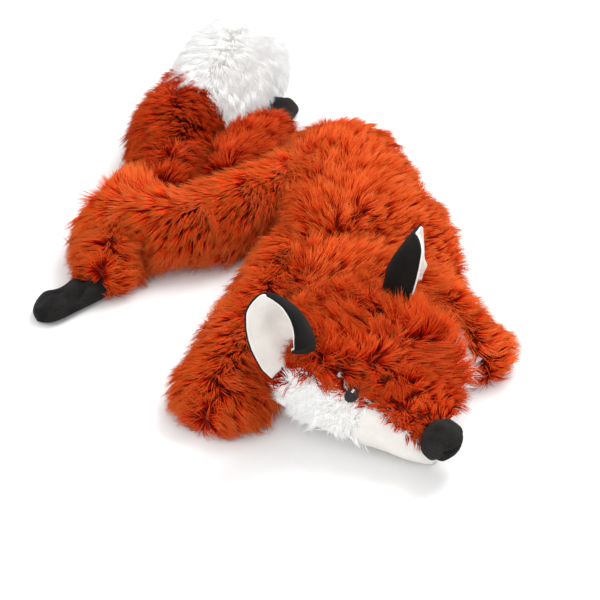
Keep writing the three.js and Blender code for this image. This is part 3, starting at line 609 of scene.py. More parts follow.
def pile_tree():
    tree, given, finish = new_tree("plush_pile", "GeometryNodeTree", PILE_INPUTS, {"Geometry": "Geometry"})

    def maths(operation, first, second):
        return put(tree, "ShaderNodeMath", {0: first, 1: second}, operation=operation)

    def times(first, second):
        return maths("MULTIPLY", first, second)

    def vectors(operation, first, second=(0, 0, 0), out=0):
        return put(tree, "ShaderNodeVectorMath", {0: first, 1: second}, out=out, operation=operation)

    def plus(first, second):
        return vectors("ADD", first, second)

    def minus(first, second):
        return vectors("SUBTRACT", first, second)

    def scaled(vector, factor):
        return put(tree, "ShaderNodeVectorMath", {0: vector, "Scale": factor}, operation="SCALE")

    def unit(vector):
        return vectors("NORMALIZE", vector)

    def named(name, kind="FLOAT_VECTOR"):
        return put(tree, "GeometryNodeInputNamedAttribute", {"Name": name}, data_type=kind)

    def stored(geometry, name, value, kind="FLOAT_VECTOR", domain="POINT"):
        return put(tree, "GeometryNodeStoreNamedAttribute",
                   {"Geometry": geometry, "Name": name, "Value": value}, data_type=kind, domain=domain)

    def flattened(vector, normal):
        return minus(vector, scaled(normal, vectors("DOT_PRODUCT", vector, normal, "Value")))

    def chance(offset):
        seed = maths("ADD", given["Seed"], offset)
        return put(tree, "FunctionNodeRandomValue", {2: 0.0, 3: 1.0, "Seed": seed}, out=1, data_type="FLOAT")

    def white(vector, out=0):
        return put(tree, "ShaderNodeTexWhiteNoise", {"Vector": vector}, out=out, noise_dimensions="3D")

    def sway(vector, reach):
        return scaled(minus(white(vector, "Color"), (0.5, 0.5, 0.5)), reach)

    position = put(tree, "GeometryNodeInputPosition")

    def lock(size):
        return put(tree, "ShaderNodeTexVoronoi", {"Vector": position, "Scale": maths("DIVIDE", 1.0, size)},
                   out="Position", voronoi_dimensions="3D", feature="F1")

    # Roots, each with its lock, its lean and its length
    amount = times(given["Density"], named("cover", "FLOAT"))
    scatter = add(
        tree, "GeometryNodeDistributePointsOnFaces",
        {"Mesh": given["Geometry"], "Density": amount, "Seed": given["Seed"]}, distribute_method="RANDOM")
    normal = scatter["Normal"]
    small, large = lock(given["Lock size"]), lock(times(given["Lock size"], BIG_LOCK))
    lean = plus(named("comb"), scaled(plus(sway(small, 1.1), sway(large, 1.3)), given["Ruffle"]))
    lean = unit(flattened(plus(lean, sway(position, 0.35)), normal))
    lock_length = ranged(tree, white(small), 0.0, 1.0, 0.68, 1.22)
    own_length = ranged(tree, chance(3), 0.0, 1.0, 0.8, 1.08)
    length = times(times(given["Pile length"], named("pile", "FLOAT")), times(lock_length, own_length))
    pull = plus(scaled(minus(small, position), given["Lock pull"]),
                scaled(minus(large, position), times(given["Lock pull"], BIG_PULL)))
    shade = maths("ADD", times(chance(7), 0.45), times(white(large), 0.55))
    points = scatter["Points"]
    pull = flattened(pull, normal)
    for name, value in (("root", position), ("face", normal), ("lean", lean), ("draw", pull)):
        points = stored(points, name, value)
    for name, value in (("reach", length), ("shade", shade)):
        points = stored(points, name, value, "FLOAT")

    # A strand on every root, then its shape
    strand = put(tree, "GeometryNodeObjectInfo", {"Object": given["Strand"]}, out="Geometry")
    planted = put(tree, "GeometryNodeInstanceOnPoints", {"Points": points, "Instance": strand})
    real = put(tree, "GeometryNodeRealizeInstances", {"Geometry": planted})
    local = add(tree, "ShaderNodeSeparateXYZ", {0: named("local")})
    up_share = local["Z"]
    squared = times(up_share, up_share)
    face, way, reach = named("face"), named("lean"), named("reach", "FLOAT")
    rise = times(times(reach, given["Lift"]), maths("SUBTRACT", up_share, times(squared, 0.4)))
    forward = times(reach, maths("ADD", times(up_share, 0.35), times(squared, 0.45)))
    side = unit(vectors("CROSS_PRODUCT", face, way))
    spine = plus(scaled(face, given["Lift"]), scaled(way, 0.7))
    flank = unit(vectors("CROSS_PRODUCT", side, spine))
    girth = times(given["Strand width"], maths("SUBTRACT", 1.0, times(up_share, 0.45)))
    body = plus(scaled(side, times(local["X"], girth)), scaled(flank, times(local["Y"], girth)))
    bent = plus(scaled(face, maths("SUBTRACT", rise, ROOT_DEPTH)), scaled(way, forward))
    drawn = scaled(named("draw"), maths("POWER", up_share, 1.2))
    place = add(tree, "ShaderNodeSeparateXYZ", {0: plus(plus(named("root"), bent), plus(drawn, body))})
    above = put(tree, "ShaderNodeCombineXYZ",
                {"X": place["X"], "Y": place["Y"], "Z": maths("MAXIMUM", place["Z"], STRAND_FLOOR)})
    shaped = put(tree, "GeometryNodeSetPosition", {"Geometry": real, "Position": above})

    # The strand's map: across is its shade, and up is root to tip
    across = maths("ADD", times(named("shade", "FLOAT"), SHADE_SHARE),
                   times(named("across", "FLOAT"), 1 - SHADE_SHARE))
    chart = put(tree, "ShaderNodeCombineXYZ", {"X": across, "Y": up_share, "Z": 0.0})
    for name in ("OFBake", "pile"):
        shaped = stored(shaped, name, chart, "FLOAT2", "CORNER")
    smooth = put(tree, "GeometryNodeSetShadeSmooth", {"Geometry": shaped})
    dressed = put(tree, "GeometryNodeSetMaterial", {"Geometry": smooth, "Material": given["Pile material"]})
    fill_in(tree, finish, {"Geometry": dressed})
    return tree


PILE = pile_tree()
print("pile tree nodes", len(PILE.nodes))

# %% [markdown]
# ## Combing
# Before the tree runs, every point of the cloth gets a combed direction, a share of the full pile
# length, and a share of cover. The nap of plush runs one way along the body; it parts at the crest,
# falls down the sides, and long soft swirls come from handling.

# %% Comb a form and grow its pile
SWIRL_SIZE = 0.03
PART_SHARPNESS = 2.2
STRAND_TRIANGLES = 10
STRAND_WIDTH = 0.62 * MM
SCRATCH_LAYERS = ("root", "face", "lean", "draw", "reach", "shade", "local", "across")
PILE_TOTALS = {"strands": 0, "triangles": 0}


def comb_of(form, normals, nap, out, part, down, swirl):
    steps = [form.heading(position, 0.01) for position in form.along]
    ways = np.array([form.ahead * step[0] + form.left * step[1] for step in steps])
    lefts = np.cross([0, 0, 1], ways)
    lean = np.clip((np.cos(form.turn) - part) * PART_SHARPNESS, -1, 1)
    steep = 1 - np.clip(normals[:, 2], 0, 1)
    napped = ways * np.interp(form.along, [0, 1], np.broadcast_to(nap, 2))[:, None]
    comb = napped + lefts * (out * lean)[:, None]
    comb[:, 2] -= down * steep
    return comb + noise_at(form.co, SWIRL_SIZE, noise.noise_vector) * swirl


def run_tree(name, mesh, tree, values):
    """Runs a Geometry Nodes tree on a mesh, and keeps what it makes as a piece."""
    bed = bpy.data.objects.new(name + "_bed", mesh)
    scene.collection.objects.link(bed)
    modifier = bed.modifiers.new("tree", "NODES")
    modifier.node_group = tree
    for item in tree.interface.items_tree:
        if item.in_out == "INPUT" and item.name in values:
            modifier[item.identifier] = values[item.name]
    graph = bpy.context.evaluated_depsgraph_get()
    made = bpy.data.meshes.new_from_object(
        bed.evaluated_get(graph), preserve_all_data_layers=True, depsgraph=graph)
    bpy.data.objects.remove(bed)
    made.name = name
    piece = bpy.data.objects.new(name, made)
    scene.collection.objects.link(piece)
    return piece


def grow_pile(name, form, comb, cover, pile, material, seed, density, length, lift, lock, pull, ruffle):
    """Pile on a form, by its comb, its cover and its share of the full length at each point."""
    mesh = mesh_of(name + "_bed", form.co, form.faces)
    mesh.attributes.new("comb", "FLOAT_VECTOR", "POINT").data.foreach_set("vector", comb.ravel())
    for layer, values in (("cover", cover), ("pile", pile)):
        mesh.attributes.new(layer, "FLOAT", "POINT").data.foreach_set("value", np.asarray(values, float))
    piece = run_tree(name, mesh, PILE, {
        "Strand": STRAND, "Pile material": material, "Seed": seed, "Density": density / MM**2,
        "Pile length": length * MM, "Strand width": STRAND_WIDTH, "Lift": lift,
        "Lock size": lock * MM, "Lock pull": pull, "Ruffle": ruffle})
    grown = piece.data
    for layer in [a.name for a in grown.attributes if a.name in SCRATCH_LAYERS]:
        grown.attributes.remove(grown.attributes[layer])
    triangles = sum(len(p.vertices) - 2 for p in grown.polygons)
    PILE_TOTALS["strands"] += triangles // STRAND_TRIANGLES
    PILE_TOTALS["triangles"] += triangles
    print(name, triangles // STRAND_TRIANGLES, "strands,", triangles, "triangles")
    return piece


def seat(piece, body, joint=None, replaces=(), back=10, on=22):
    """Rides a piece on its body, or bends it across its root joint, and hides the imported parts it replaces.
    """
    if joint:
        form = FORMS[body]
        start = form.origin - form.ahead * back * MM
        end = form.origin + form.ahead * on * MM
        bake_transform(piece, JOINTS[joint]["parent"], body, tuple(start), tuple(end))
    else:
        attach(piece, body)
    if replaces:
        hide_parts(*replaces)
    return piece


# %% [markdown]
# ## Two layers of cloth to each limb
# Each limb is sewn from a plush upper and a smooth inner side, so its form is parted along its flat
# underside into two panels, and each panel gets the thickness of its cloth.

# %% Sew the limbs' panels
CLOTH_THICKNESS = 1.2 * MM
UNDER_RISE = -0.72


def panel(name, co, faces, wanted, material):
    part_co, part_faces = keep_faces(co, faces, wanted)
    piece = new_piece(name, part_co, part_faces, material)
    wall = piece.modifiers.new("cloth", "SOLIDIFY")
    wall.thickness = CLOTH_THICKNESS
    wall.offset = -1
    return piece


def under_points(form, turned_up):
    """Points of the smooth side: the flat underside, and what is turned up of a twisted leg."""
    low = np.sin(form.turn) < UNDER_RISE
    if not turned_up:
        return low
    wavy = -0.3 + 0.2 * np.sin(form.along * 15)
    return low | ((np.cos(form.turn) < wavy) & (form.along > 0.36) & (form.along < 0.86))


def under_faces(form, turned_up=False):
    low = under_points(form, turned_up)
    return [all(low[index] for index in face) for face in form.faces]


# The endings of the upper panel, the under panel and their nodes, the under cloth and its slot
# The under cloth of the body and legs is the lighter copy of the white velboa: painted light.
BODY_ENDINGS = ("_back_cloth", "_belly_cloth", "_back", "_belly", LIT_LINING_VELBOA, "white_velboa")
LEG_ENDINGS = ("_cloth", "_lining", "_upper", "_inside", LIT_LINING_VELBOA, "white_velboa")
TAIL_ENDINGS = ("_cloth", "_under_cloth", "_upper", "_under")
LIMBS = {
    "fore": (None, *BODY_ENDINGS),
    "hind": ("waist_bend", *BODY_ENDINGS),
    "right_hind_leg": ("right_hind_leg_lift", *LEG_ENDINGS),
    "left_hind_leg": ("left_hind_leg_lift", *LEG_ENDINGS),
    "right_front_leg": ("right_front_leg_swing", *LEG_ENDINGS),
    "left_front_leg": ("left_front_leg_lift", *LEG_ENDINGS),
    "tail": ("tail_lift", *TAIL_ENDINGS, ORANGE_CLOTH, "orange_plush"),
    "tail_tip": ("tail_tip_flex", *TAIL_ENDINGS, WHITE_CLOTH, "white_plush"),
}
TWISTED, WHITE_LIMB = "left_front_leg", "tail_tip"


for body, (joint, upper, under, upper_node, under_node, under_cloth, under_slot) in LIMBS.items():
    form = FORMS[body]
    below = under_faces(form, body == TWISTED)
    upper_cloth = WHITE_CLOTH if body == WHITE_LIMB else ORANGE_CLOTH
    top = panel(body + upper, form.co, form.faces, [not low for low in below], upper_cloth)
    seat(top, body, joint, (body + upper_node,))
    bottom = panel(body + under, form.co, form.faces, below, under_cloth)
    seat(bottom, body, joint, (body + under_node,))
print("cloth panels", 2 * len(LIMBS))

# %% [markdown]
# ## Pile on the limbs
# Each limb's pile has its own table of density, length and comb. Where a limb runs into the body it
# is left bare, since its root is hidden there.

# %% Grow the limbs' pile
PILES = {
    # name: (form, from and to along it, density per mm2, length mm, lift, nap at the root and the end,
    #        combed out, parting, down, swirl, ruffle, lock mm, seed)
    "fore_pile_neck": ("fore", 0.66, 1.0, 1.5, 15, 1.0, -0.6, 1.0, -0.35, 0.5, 1.0, 0.5, 3.8, 11),
    "fore_pile_back": ("fore", 0.36, 0.66, 1.5, 15, 1.0, -0.6, 1.1, -0.35, 0.5, 1.0, 0.5, 3.8, 10),
    "fore_pile_bend": ("fore", 0.0, 0.36, 1.5, 15, 1.0, -0.7, 1.1, -0.35, 0.4, 0.9, 0.5, 4.0, 12),
    "hind_pile_waist": ("hind", 0.0, 0.5, 1.6, 15, 0.95, 0.6, 1.2, 0.1, 0.5, 0.7, 0.45, 4.0, 13),
    "hind_pile_rump": ("hind", 0.5, 1.0, 1.5, 17, 1.0, 0.8, 1.2, 0.1, 0.4, 0.9, 0.5, 4.2, 14),
    "right_hind_leg_pile": (
        "right_hind_leg", 0.12, 0.9, 1.9, 14, 0.95, (0.6, -0.1), 0.9, 0.0, 0.4, 0.9, 0.5, 3.8, 15),
    "left_hind_leg_pile": (
        "left_hind_leg", 0.05, 1.0, 1.6, 14, 0.95, 0.7, 0.8, 0.0, 0.4, 0.9, 0.5, 3.8, 16),
    "right_front_leg_pile": (
        "right_front_leg", 0.0, 1.0, 1.5, 15, 0.95, 0.6, 1.0, 0.1, 0.4, 0.9, 0.5, 4.0, 17),
    "left_front_leg_pile": (
        "left_front_leg", 0.1, 1.0, 2.4, 14, 1.1, 0.4, 1.0, -0.4, 0.0, 0.8, 0.5, 3.8, 18),
    "tail_pile": ("tail", 0.12, 0.85, 1.6, 15, 1.15, (0.6, -1.4), 0.9, -0.1, 0.4, 1.7, 0.6, 4.4, 19),
    "tail_tip_pile": ("tail_tip", 0.0, 1.0, 1.7, 21, 0.85, (-1.7, 1.0), 1.0, 0.0, 0.6, 0.5, 0.35, 4.8, 20),
}
# Lighter and darker copies of the orange pile: painted light on the hind and the left front leg, painted
# shade on the tail and the left hind leg.
LIMB_PILES = {
    "hind": LIT_PILE, "left_front_leg": LIT_PILE, "tail_tip": WHITE_PILE, "tail": SHADED_PILE,
    "left_hind_leg": SHADED_PILE}
EDGE_SLANT = {"right_hind_leg_pile": 0.1, "tail_pile": 0.09}
BARE_RISE, THIN_RISE = -0.55, -0.1
FLOOR_ZONE = 7 * MM
LOCK_PULL = 0.58


def own_length(name, form):
    """The shares of the full pile length where a limb has tufts or is worn short."""
    left, along = np.cos(form.turn), form.along
    upward = np.clip(np.sin(form.turn), 0, 1)
    if name == "fore_pile_back":
        return 1 - 0.45 * hump(along, 0.6, 0.04) * upward
    if name == "fore_pile_neck":
        return 1 + 0.25 * hump(along, 0.7, 0.05) * upward
    if name == "hind_pile_rump":
        return 1 + 0.6 * np.clip(-left, 0, 1) * np.clip((along - 0.78) / 0.15, 0, 1)
    if name == "tail_pile":
        return 1 - 0.45 * np.clip((along - 0.55) / 0.25, 0, 1) * np.clip(1 - 2 * left, 0, 1)
    return np.ones(len(along))


def cover_of(form, low, high, slant):
    rise = np.sin(form.turn)
    end = high + slant * np.cos(form.turn)
    covered = (form.along >= low - 1e-9) & (form.along <= end + 1e-9) & (rise > BARE_RISE)
    return covered * np.where(rise < THIN_RISE, 0.6, 1.0)


for name, row in PILES.items():
    body, low, high, density, length, lift, nap, out, part, down, swirl, ruffle, lock, seed = row
    form = FORMS[body]
    comb = comb_of(form, normals_of(form.co, form.faces), nap, out, part, down, swirl)
    cover = cover_of(form, low, high, EDGE_SLANT.get(name, 0)) * ~under_points(form, body == TWISTED)
    cover = cover * np.where(buried(body), BURIED_COVER, 1.0)
    pile = np.where(form.co[:, 2] < FLOOR_ZONE, 0.75, 1.0) * own_length(name, form)
    piece = grow_pile(name, form, comb, cover, pile, LIMB_PILES.get(body, ORANGE_PILE), seed,
                      density, length, lift, lock, LOCK_PULL, ruffle)
    seat(piece, body, LIMBS[body][0])
print(PILE_TOTALS)

# %% [markdown]
# ## The head
# The head is the one part with a little filling. Its skin is sewn from four panels: the orange crown
# that runs down the muzzle, two white long-pile cheeks, and a smooth white muzzle and chin. The form is
# drawn at full size where the cloth is smooth, and sunk by the depth of the pile where it is furry.

# %% The head's skin
MUZZLE_SEAM, THROAT_HALF, THROAT_RISE = 77, 17, 14
CROWN_LINE = [55, 62, 72, 78, 86, 92, 100, 110], [41, 39, 36, 34.5, 31, 28, 24, 17.5]
FACE_SPREAD = [35, 55, 70, 82, 96, 108], [0, 8, 14, 16, 9, 0]
CROWN_SINK = [0, 60, 90, 110], [6, 5, 2.5, 1.2]
CHEEK_SINK = 4
NAPE_LINE = [5, 38], [20, 41]
FAR_DROP = 9
HEAD = FORMS["head"]


def head_place(co):
    """Millimetres along the head, to its left and up, for each point."""
    offset = (co - HEAD.origin) / MM
    return offset @ HEAD.ahead, offset @ HEAD.left, co[:, 2] / MM


def crown_line(along, aside):
    """The height of the crown's edge, which drops on the far side of the face."""
    return np.interp(along, *CROWN_LINE) - FAR_DROP * smooth_step(8, 22, aside)


def head_masks(co, soft):
    """How much each point belongs to the crown, to the cheeks and to the smooth muzzle and chin."""
    along, aside, up = head_place(co)
    crown = np.maximum(smooth_step(-soft, soft, up - crown_line(along, aside)),
                       smooth_step(-soft, soft, np.interp(up, *NAPE_LINE) - along))
    chin = smooth_step(-soft, soft, THROAT_HALF - np.abs(aside)) * smooth_step(-soft, soft, THROAT_RISE - up)
    throat = np.maximum(smooth_step(MUZZLE_SEAM - soft, MUZZLE_SEAM + soft, along), chin)
    return crown, (1 - crown) * (1 - throat), (1 - crown) * throat


crown_share, cheek_share, _ = head_masks(HEAD.co, 2.0)
head_along, head_aside, _ = head_place(HEAD.co)
spread = np.interp(head_along, *FACE_SPREAD) * smooth_step(4, 22, head_aside)
HEAD.co = HEAD.co + HEAD.left * (spread * MM)[:, None]
sink = (crown_share * np.interp(head_along, *CROWN_SINK) + cheek_share * CHEEK_SINK) * MM
HEAD.co = HEAD.co - normals_of(HEAD.co, HEAD.faces) * sink[:, None]
HEAD.co[:, 2] = np.maximum(HEAD.co[:, 2], FLOOR_CLEAR)

face_middles = np.array([HEAD.co[list(face)].mean(axis=0) for face in HEAD.faces])
crown_faces, cheek_faces, _ = head_masks(face_middles, 0.01)
face_aside = head_place(face_middles)[1]
HEAD_PANELS = (
    ("head_crown_cloth", "head_crown", crown_faces >= 0.5, ORANGE_CLOTH, "orange_plush"),
    ("right_cheek_cloth", "right_cheek", (cheek_faces > 0.5) & (face_aside < 0), WHITE_CLOTH, "white_plush"),
    ("left_cheek_cloth", "left_cheek", (cheek_faces > 0.5) & (face_aside >= 0), WHITE_CLOTH, "white_plush"),
    ("muzzle_cloth", "muzzle_chin", (crown_faces < 0.5) & (cheek_faces <= 0.5), WHITE_VELBOA, "white_velboa"),
)
for name, node, wanted, cloth, slot in HEAD_PANELS:
    seat(panel(name, HEAD.co, HEAD.faces, wanted, cloth), "head", None, (node,))
    print(name, int(np.sum(wanted)), "faces")

filling = Form("neck_lift", HEAD_HEADING, HEAD_SIZE, HEAD_ROWS, 20, 28, 10, (10, 12), (0.4, 0))
filling_piece = new_piece("head_filling", filling.co, filling.faces, FILL)
seat(filling_piece, "head", None, ("head_stuffing",))

# %% [markdown]
# ## Pile on the head
# The crown is ruffled short pile, brushed back from the nose and standing in tufts, and it shortens
# down the muzzle. Its ragged edge falls over the white. The cheeks are brushed back and down. The pile
# is short around each eye, so the embroidery shows.

# %% Where the eyes are
EYE_ALONG = 70
EYES = (
    # name, side, height, bare within, full pile beyond, shortest pile
    ("right", -1, 33, 1.4, 4.4, 0.5), ("left", 1, 33 - FAR_DROP, 3.2, 8.0, 0.3))
UP = np.array([0, 0, 1])
head_normals = normals_of(HEAD.co, HEAD.faces)


def skin_point(along, side, up):
    """The point of the head's skin nearest to a height on one side, and its normal."""
    s, a, z = head_place(HEAD.co)
    index = int(np.argmin((s - along) ** 2 + (z - up) ** 2 + np.where(a * side > 5, 0, 1e6)))
    return HEAD.co[index], head_normals[index]


def near_point(place, full, none):
    """How near the head's skin comes to a place: one within a distance, and none beyond another."""
    return smooth_step(none, full, np.linalg.norm(HEAD.co - place, axis=1) / MM)


eye_clear = np.ones(len(HEAD.co))
eye_length = np.ones(len(HEAD.co))
for name, side, eye_up, near, far, shortest in EYES:
    from_eye = np.linalg.norm(HEAD.co - skin_point(EYE_ALONG, side, eye_up)[0], axis=1) / MM
    eye_clear *= smooth_step(near, far, from_eye)
    eye_length *= shortest + (1 - shortest) * smooth_step(3, 12, from_eye)

# %% Grow the head's pile
CROWN_LENGTHS = [-7, 10, 35, 55, 85, 108], [1.5, 1.4, 1.1, 1.0, 0.85, 0.55]
CROWN_END = 109
HEAD_DENSITY, HEAD_LOCK, HEAD_PULL, HEAD_RUFFLE = 1.8, 3.8, 0.6, 0.85

up_left = np.tanh(head_aside / 9)[:, None] * HEAD.left
head_swirl = noise_at(HEAD.co, 0.02, noise.noise_vector)
on_muzzle = smooth_step(60, 74, head_along)
far_side = smooth_step(8, 22, head_aside) * smooth_step(40, 60, head_along)
by_ear = near_point(np.array(JOINTS["right_ear_flop"]["pos_m"]) + np.array([20, 2, 8]) * MM, 8, 20)
ear_tuft = near_point(HEAD.origin + (HEAD.ahead * 27 - HEAD.left * 40 + UP * 23) * MM, 6, 16)
brushed_out = 0.3 + 0.4 * np.maximum(on_muzzle, far_side)
crown_comb = -HEAD.ahead * 0.45 + up_left * brushed_out[:, None] + head_swirl * 1.2
crown_comb[:, 2] += 0.5 - 1.1 * on_muzzle
crown_comb = crown_comb - (HEAD.left * 0.8 + HEAD.ahead * 0.3 + UP * 0.6) * ear_tuft[:, None]
crown_pile = np.interp(head_along, *CROWN_LENGTHS) * (1 + 0.5 * by_ear) * (1 + 0.8 * far_side)
crown_pile = crown_pile * (1 + 0.6 * ear_tuft) * (0.6 + 0.4 * crown_share) * eye_length
over_seam = smooth_step(62, 76, head_along)
cheek_comb = HEAD.ahead * (1.2 * over_seam - 0.9)[:, None] + up_left * 0.4 + head_swirl * 0.5 - UP * 0.35
left_cheek_comb = HEAD.ahead * 0.3 + HEAD.left * 0.9 + head_swirl * 0.4 - UP * 0.3
left_cheek_pile = 0.5 + 0.6 * smooth_step(62, 70, head_along)
HEAD_PILES = (
    # name, comb, cover, share of the length, material, slot, seed, length mm, lift
    ("crown_pile", crown_comb, np.clip(crown_share * 3, 0, 1) * (head_along < CROWN_END), crown_pile,
     CROWN_PILE, "orange_plush", 31, 13, 1.05),
    ("right_cheek_pile", cheek_comb, cheek_share * (head_aside < 0), 1 - 0.5 * over_seam,
     WHITE_PILE, "white_plush", 32, 14, 0.6),
    ("left_cheek_pile", left_cheek_comb, cheek_share * (head_aside > 0), left_cheek_pile,
     WHITE_PILE, "white_plush", 33, 18, 0.7),
)
for name, comb, cover, share, material, slot, seed, length, lift in HEAD_PILES:
    cover = cover * eye_clear * (np.sin(HEAD.turn) > -0.6)
    piece = grow_pile(name, HEAD, comb, cover, share, material, seed,
                      HEAD_DENSITY, length, lift, HEAD_LOCK, HEAD_PULL, HEAD_RUFFLE)
    seat(piece, "head", None)
print(PILE_TOTALS)

# %% [markdown]
# ## Nose and eyes
# The nose is a padded ball of black velboa with a cleft below. Each eye is embroidered: a low pad
# covered by side-by-side stitches of black thread, with three white stitches for the glint.

# %% Shape the nose
NOSE_MIDDLE = [113.5, 0, 20.5]
NOSE_HALVES = np.array([10.0, 12.0, 11.5])


def ball(rings, sides):
    """A unit ball as points and faces that look outwards."""
    points = [(0, 0, 1)]
    for ring in range(1, rings):
        fall = math.pi * ring / rings
        for side in range(sides):
            turn = 2 * math.pi * side / sides
            points.append((math.sin(fall) * math.cos(turn), math.sin(fall) * math.sin(turn), math.cos(fall)))
    points.append((0, 0, -1))
    return np.array(points), [face[:1] + face[:0:-1] for face in capped_rings(rings - 1, sides)]


def in_head(points):
    """Millimetres along, left and up in the head's frame, as points of the scene."""
    points = points * MM
    return HEAD.origin + points[:, :1] * HEAD.ahead + points[:, 1:2] * HEAD.left + points[:, 2:] * UP


nose_unit, nose_faces = ball(36, 48)
ahead, aside, up = nose_unit.T
front = smooth_step(-0.1, 0.4, ahead)
cleft = hump(aside, -0.5, 0.12) * smooth_step(0.2, 0.0, up) * front * 0.2
seam = hump(up - 0.2 * aside, 0.14, 0.07) * smooth_step(-0.65, -0.45, aside) * front * 0.14
swell = 1 - cleft + 0.09 * noise_at(nose_unit, 1 / 2.1) - seam
nose_co = in_head(nose_unit * swell[:, None] * NOSE_HALVES + NOSE_MIDDLE)
nose = new_piece("nose_ball", nose_co, nose_faces, BLACK_VELBOA)
seat(nose, "head", None, ("nose",))
print("nose", len(nose_faces), "faces")

# %% A tree that lays thread along stitches
def thread_tree():
    tree, given, finish = new_tree(
        "stitches", "GeometryNodeTree", {"Geometry": "Geometry", "Thickness": "Float", "Thread": "Material"},
        {"Geometry": "Geometry"})
    lines = put(tree, "GeometryNodeMeshToCurve", {"Mesh": given["Geometry"]})
    half = put(tree, "ShaderNodeMath", {0: given["Thickness"], 1: 0.5}, operation="MULTIPLY")
    ring = put(tree, "GeometryNodeCurvePrimitiveCircle", {"Resolution": 6, "Radius": half})
    tube = put(tree, "GeometryNodeCurveToMesh", {"Curve": lines, "Profile Curve": ring, "Fill Caps": True})
    real = put(tree, "GeometryNodeRealizeInstances", {"Geometry": tube})
    dressed = put(tree, "GeometryNodeSetMaterial", {"Geometry": real, "Material": given["Thread"]})
    fill_in(tree, finish, {"Geometry": dressed})
    return tree


STITCHES = thread_tree()


def sew(name, lines, thickness, material):
    """Thread laid along each line of points."""
    points, edges = [], []
    for line in lines:
        edges += [(len(points) + step, len(points) + step + 1) for step in range(len(line) - 1)]
        points += [tuple(point) for point in line]
    mesh = bpy.data.meshes.new(name + "_lines")
    mesh.from_pydata(points, edges, [])
    piece = run_tree(name, mesh, STITCHES, {"Thickness": thickness, "Thread": material})
    piece.data.polygons.foreach_set("use_smooth", [True] * len(piece.data.polygons))
    return piece


# %% Embroider the eyes
EYE_HALVES, EYE_RISE, EYE_OUT = (2.8, 4.3), 0.9, 4.0
EYE_STITCHES, STITCH_STEPS = 13, 8
STITCH_THREAD, GLINT_THREAD = 0.8 * MM, 0.6 * MM

for name, side, eye_up, *_ in EYES:
    middle, outward = skin_point(EYE_ALONG, side, eye_up)
    middle = middle + outward * EYE_OUT * MM
    forward = HEAD.ahead - outward * np.dot(HEAD.ahead, outward)
    forward /= np.linalg.norm(forward)
    upward = np.cross(outward, forward) * side
    upward *= np.sign(upward[2])

    def on_eye(across, rise, height):
        return middle + (forward * across + upward * rise + outward * height) * MM

    unit, eye_faces = ball(12, 20)
    eye_co = np.array([on_eye(x * EYE_HALVES[0], y * EYE_HALVES[1], z * EYE_RISE) for x, y, z in unit])
    if np.dot(np.cross(forward, upward), outward) < 0:
        eye_faces = [face[::-1] for face in eye_faces]
    pad = new_piece(name + "_eye_pad", eye_co, eye_faces, BLACK_THREAD)
    seat(pad, "head", None, (name + "_eye",))
    stitches = []
    for stitch in range(EYE_STITCHES):
        rise = (2 * (stitch + 0.5) / EYE_STITCHES - 1) * EYE_HALVES[1]
        half = EYE_HALVES[0] * math.sqrt(1 - (rise / EYE_HALVES[1]) ** 2) + 0.4
        line = []
        for step in range(STITCH_STEPS + 1):
            across = (2 * step / STITCH_STEPS - 1) * half
            dome = 1 - (across / (EYE_HALVES[0] + 0.6)) ** 2 - (rise / (EYE_HALVES[1] + 0.6)) ** 2
            line.append(on_eye(across, rise, EYE_RISE * max(dome, 0) ** 0.5 + 0.1))
        stitches.append(line)
    seat(sew(name + "_eye_stitches", stitches, STITCH_THREAD, BLACK_THREAD), "head", None)
    glint = [[on_eye(-1.3 + step * 0.4, 1.2 + row * 0.7, EYE_RISE + 0.3) for step in range(4)]
             for row in range(3)]
    seat(sew(name + "_eye_glint", glint, GLINT_THREAD, WHITE_THREAD), "head", None)
    print(name, "eye at", [round(float(value) / MM) for value in middle], "mm")

# %% [markdown]
# ## Ears
# Each ear is a black velboa back and a white velboa lining sewn edge to edge. The far edge of the
# right ear curls forward, so its black back shows beside the lining; the left ear stands edge on.

# %% Cup the ears
EAR_HALF, EAR_CLOTH, EAR_GAP = 17.5, 1.3, 0.1
EAR_OUTLINE = [0.86, 0.98, 1.0, 1.0, 0.95, 0.85, 0.69, 0.46]
EAR_LEVELS, EAR_COLUMNS = 36, 32
EAR_TOP, EAR_TOP_HEIGHT = 0.88, 0.125
EAR_CREASE = 1.2
EAR_HOLLOW, HOLLOW_AT, HOLLOW_WIDTH = 6.0, 0.15, 0.4
EARS = {
    # name: (facing, roll, shift sideways, set back, height, rise of the far side, lean,
    #        and for each half its curl, its length and how late it bends)
    "right": (-78, 17, 7, 0.5, 58, 26, 7, ((45, 1.0, 1.4), (190, 2.35, 1.4))),
    "left": (22, -3, 0, 4, 45, 4, 15, ((20, 0.9, 1.4), (100, 2.0, 0.6))),
}


def ear_row(sign, curl, reach, late, fade):
    """One half of an ear's section: places across and ahead, and the slope, from the middle out."""
    across, ahead, row = 0.0, 0.0, []
    count = EAR_COLUMNS // 2
    for column in range(1, count + 1):
        turn = math.radians(curl) * (column / count) ** late * fade
        across += math.cos(turn) * reach / count
        ahead += math.sin(turn) * reach / count
        row.append((sign * across, ahead, sign * turn))
    return row


def ear_section(up, halves):
    """An ear's whole section at one height."""
    share = float(np.interp(up, np.linspace(0, 1, len(EAR_OUTLINE)), EAR_OUTLINE))
    if up > EAR_TOP:
        share *= math.sqrt(max(1 - ((up - EAR_TOP) / EAR_TOP_HEIGHT) ** 2, 0.03))
    fade = 1 - 0.35 * up
    (near_curl, near_reach, near_late), (far_curl, far_reach, far_late) = halves
    near = ear_row(-1, near_curl, EAR_HALF * share * near_reach, near_late, fade)
    far = ear_row(1, far_curl, EAR_HALF * share * (1 + (far_reach - 1) * (1 - 0.6 * up)), far_late, fade)
    return near[::-1] + [(0.0, 0.0, 0.0)] + far


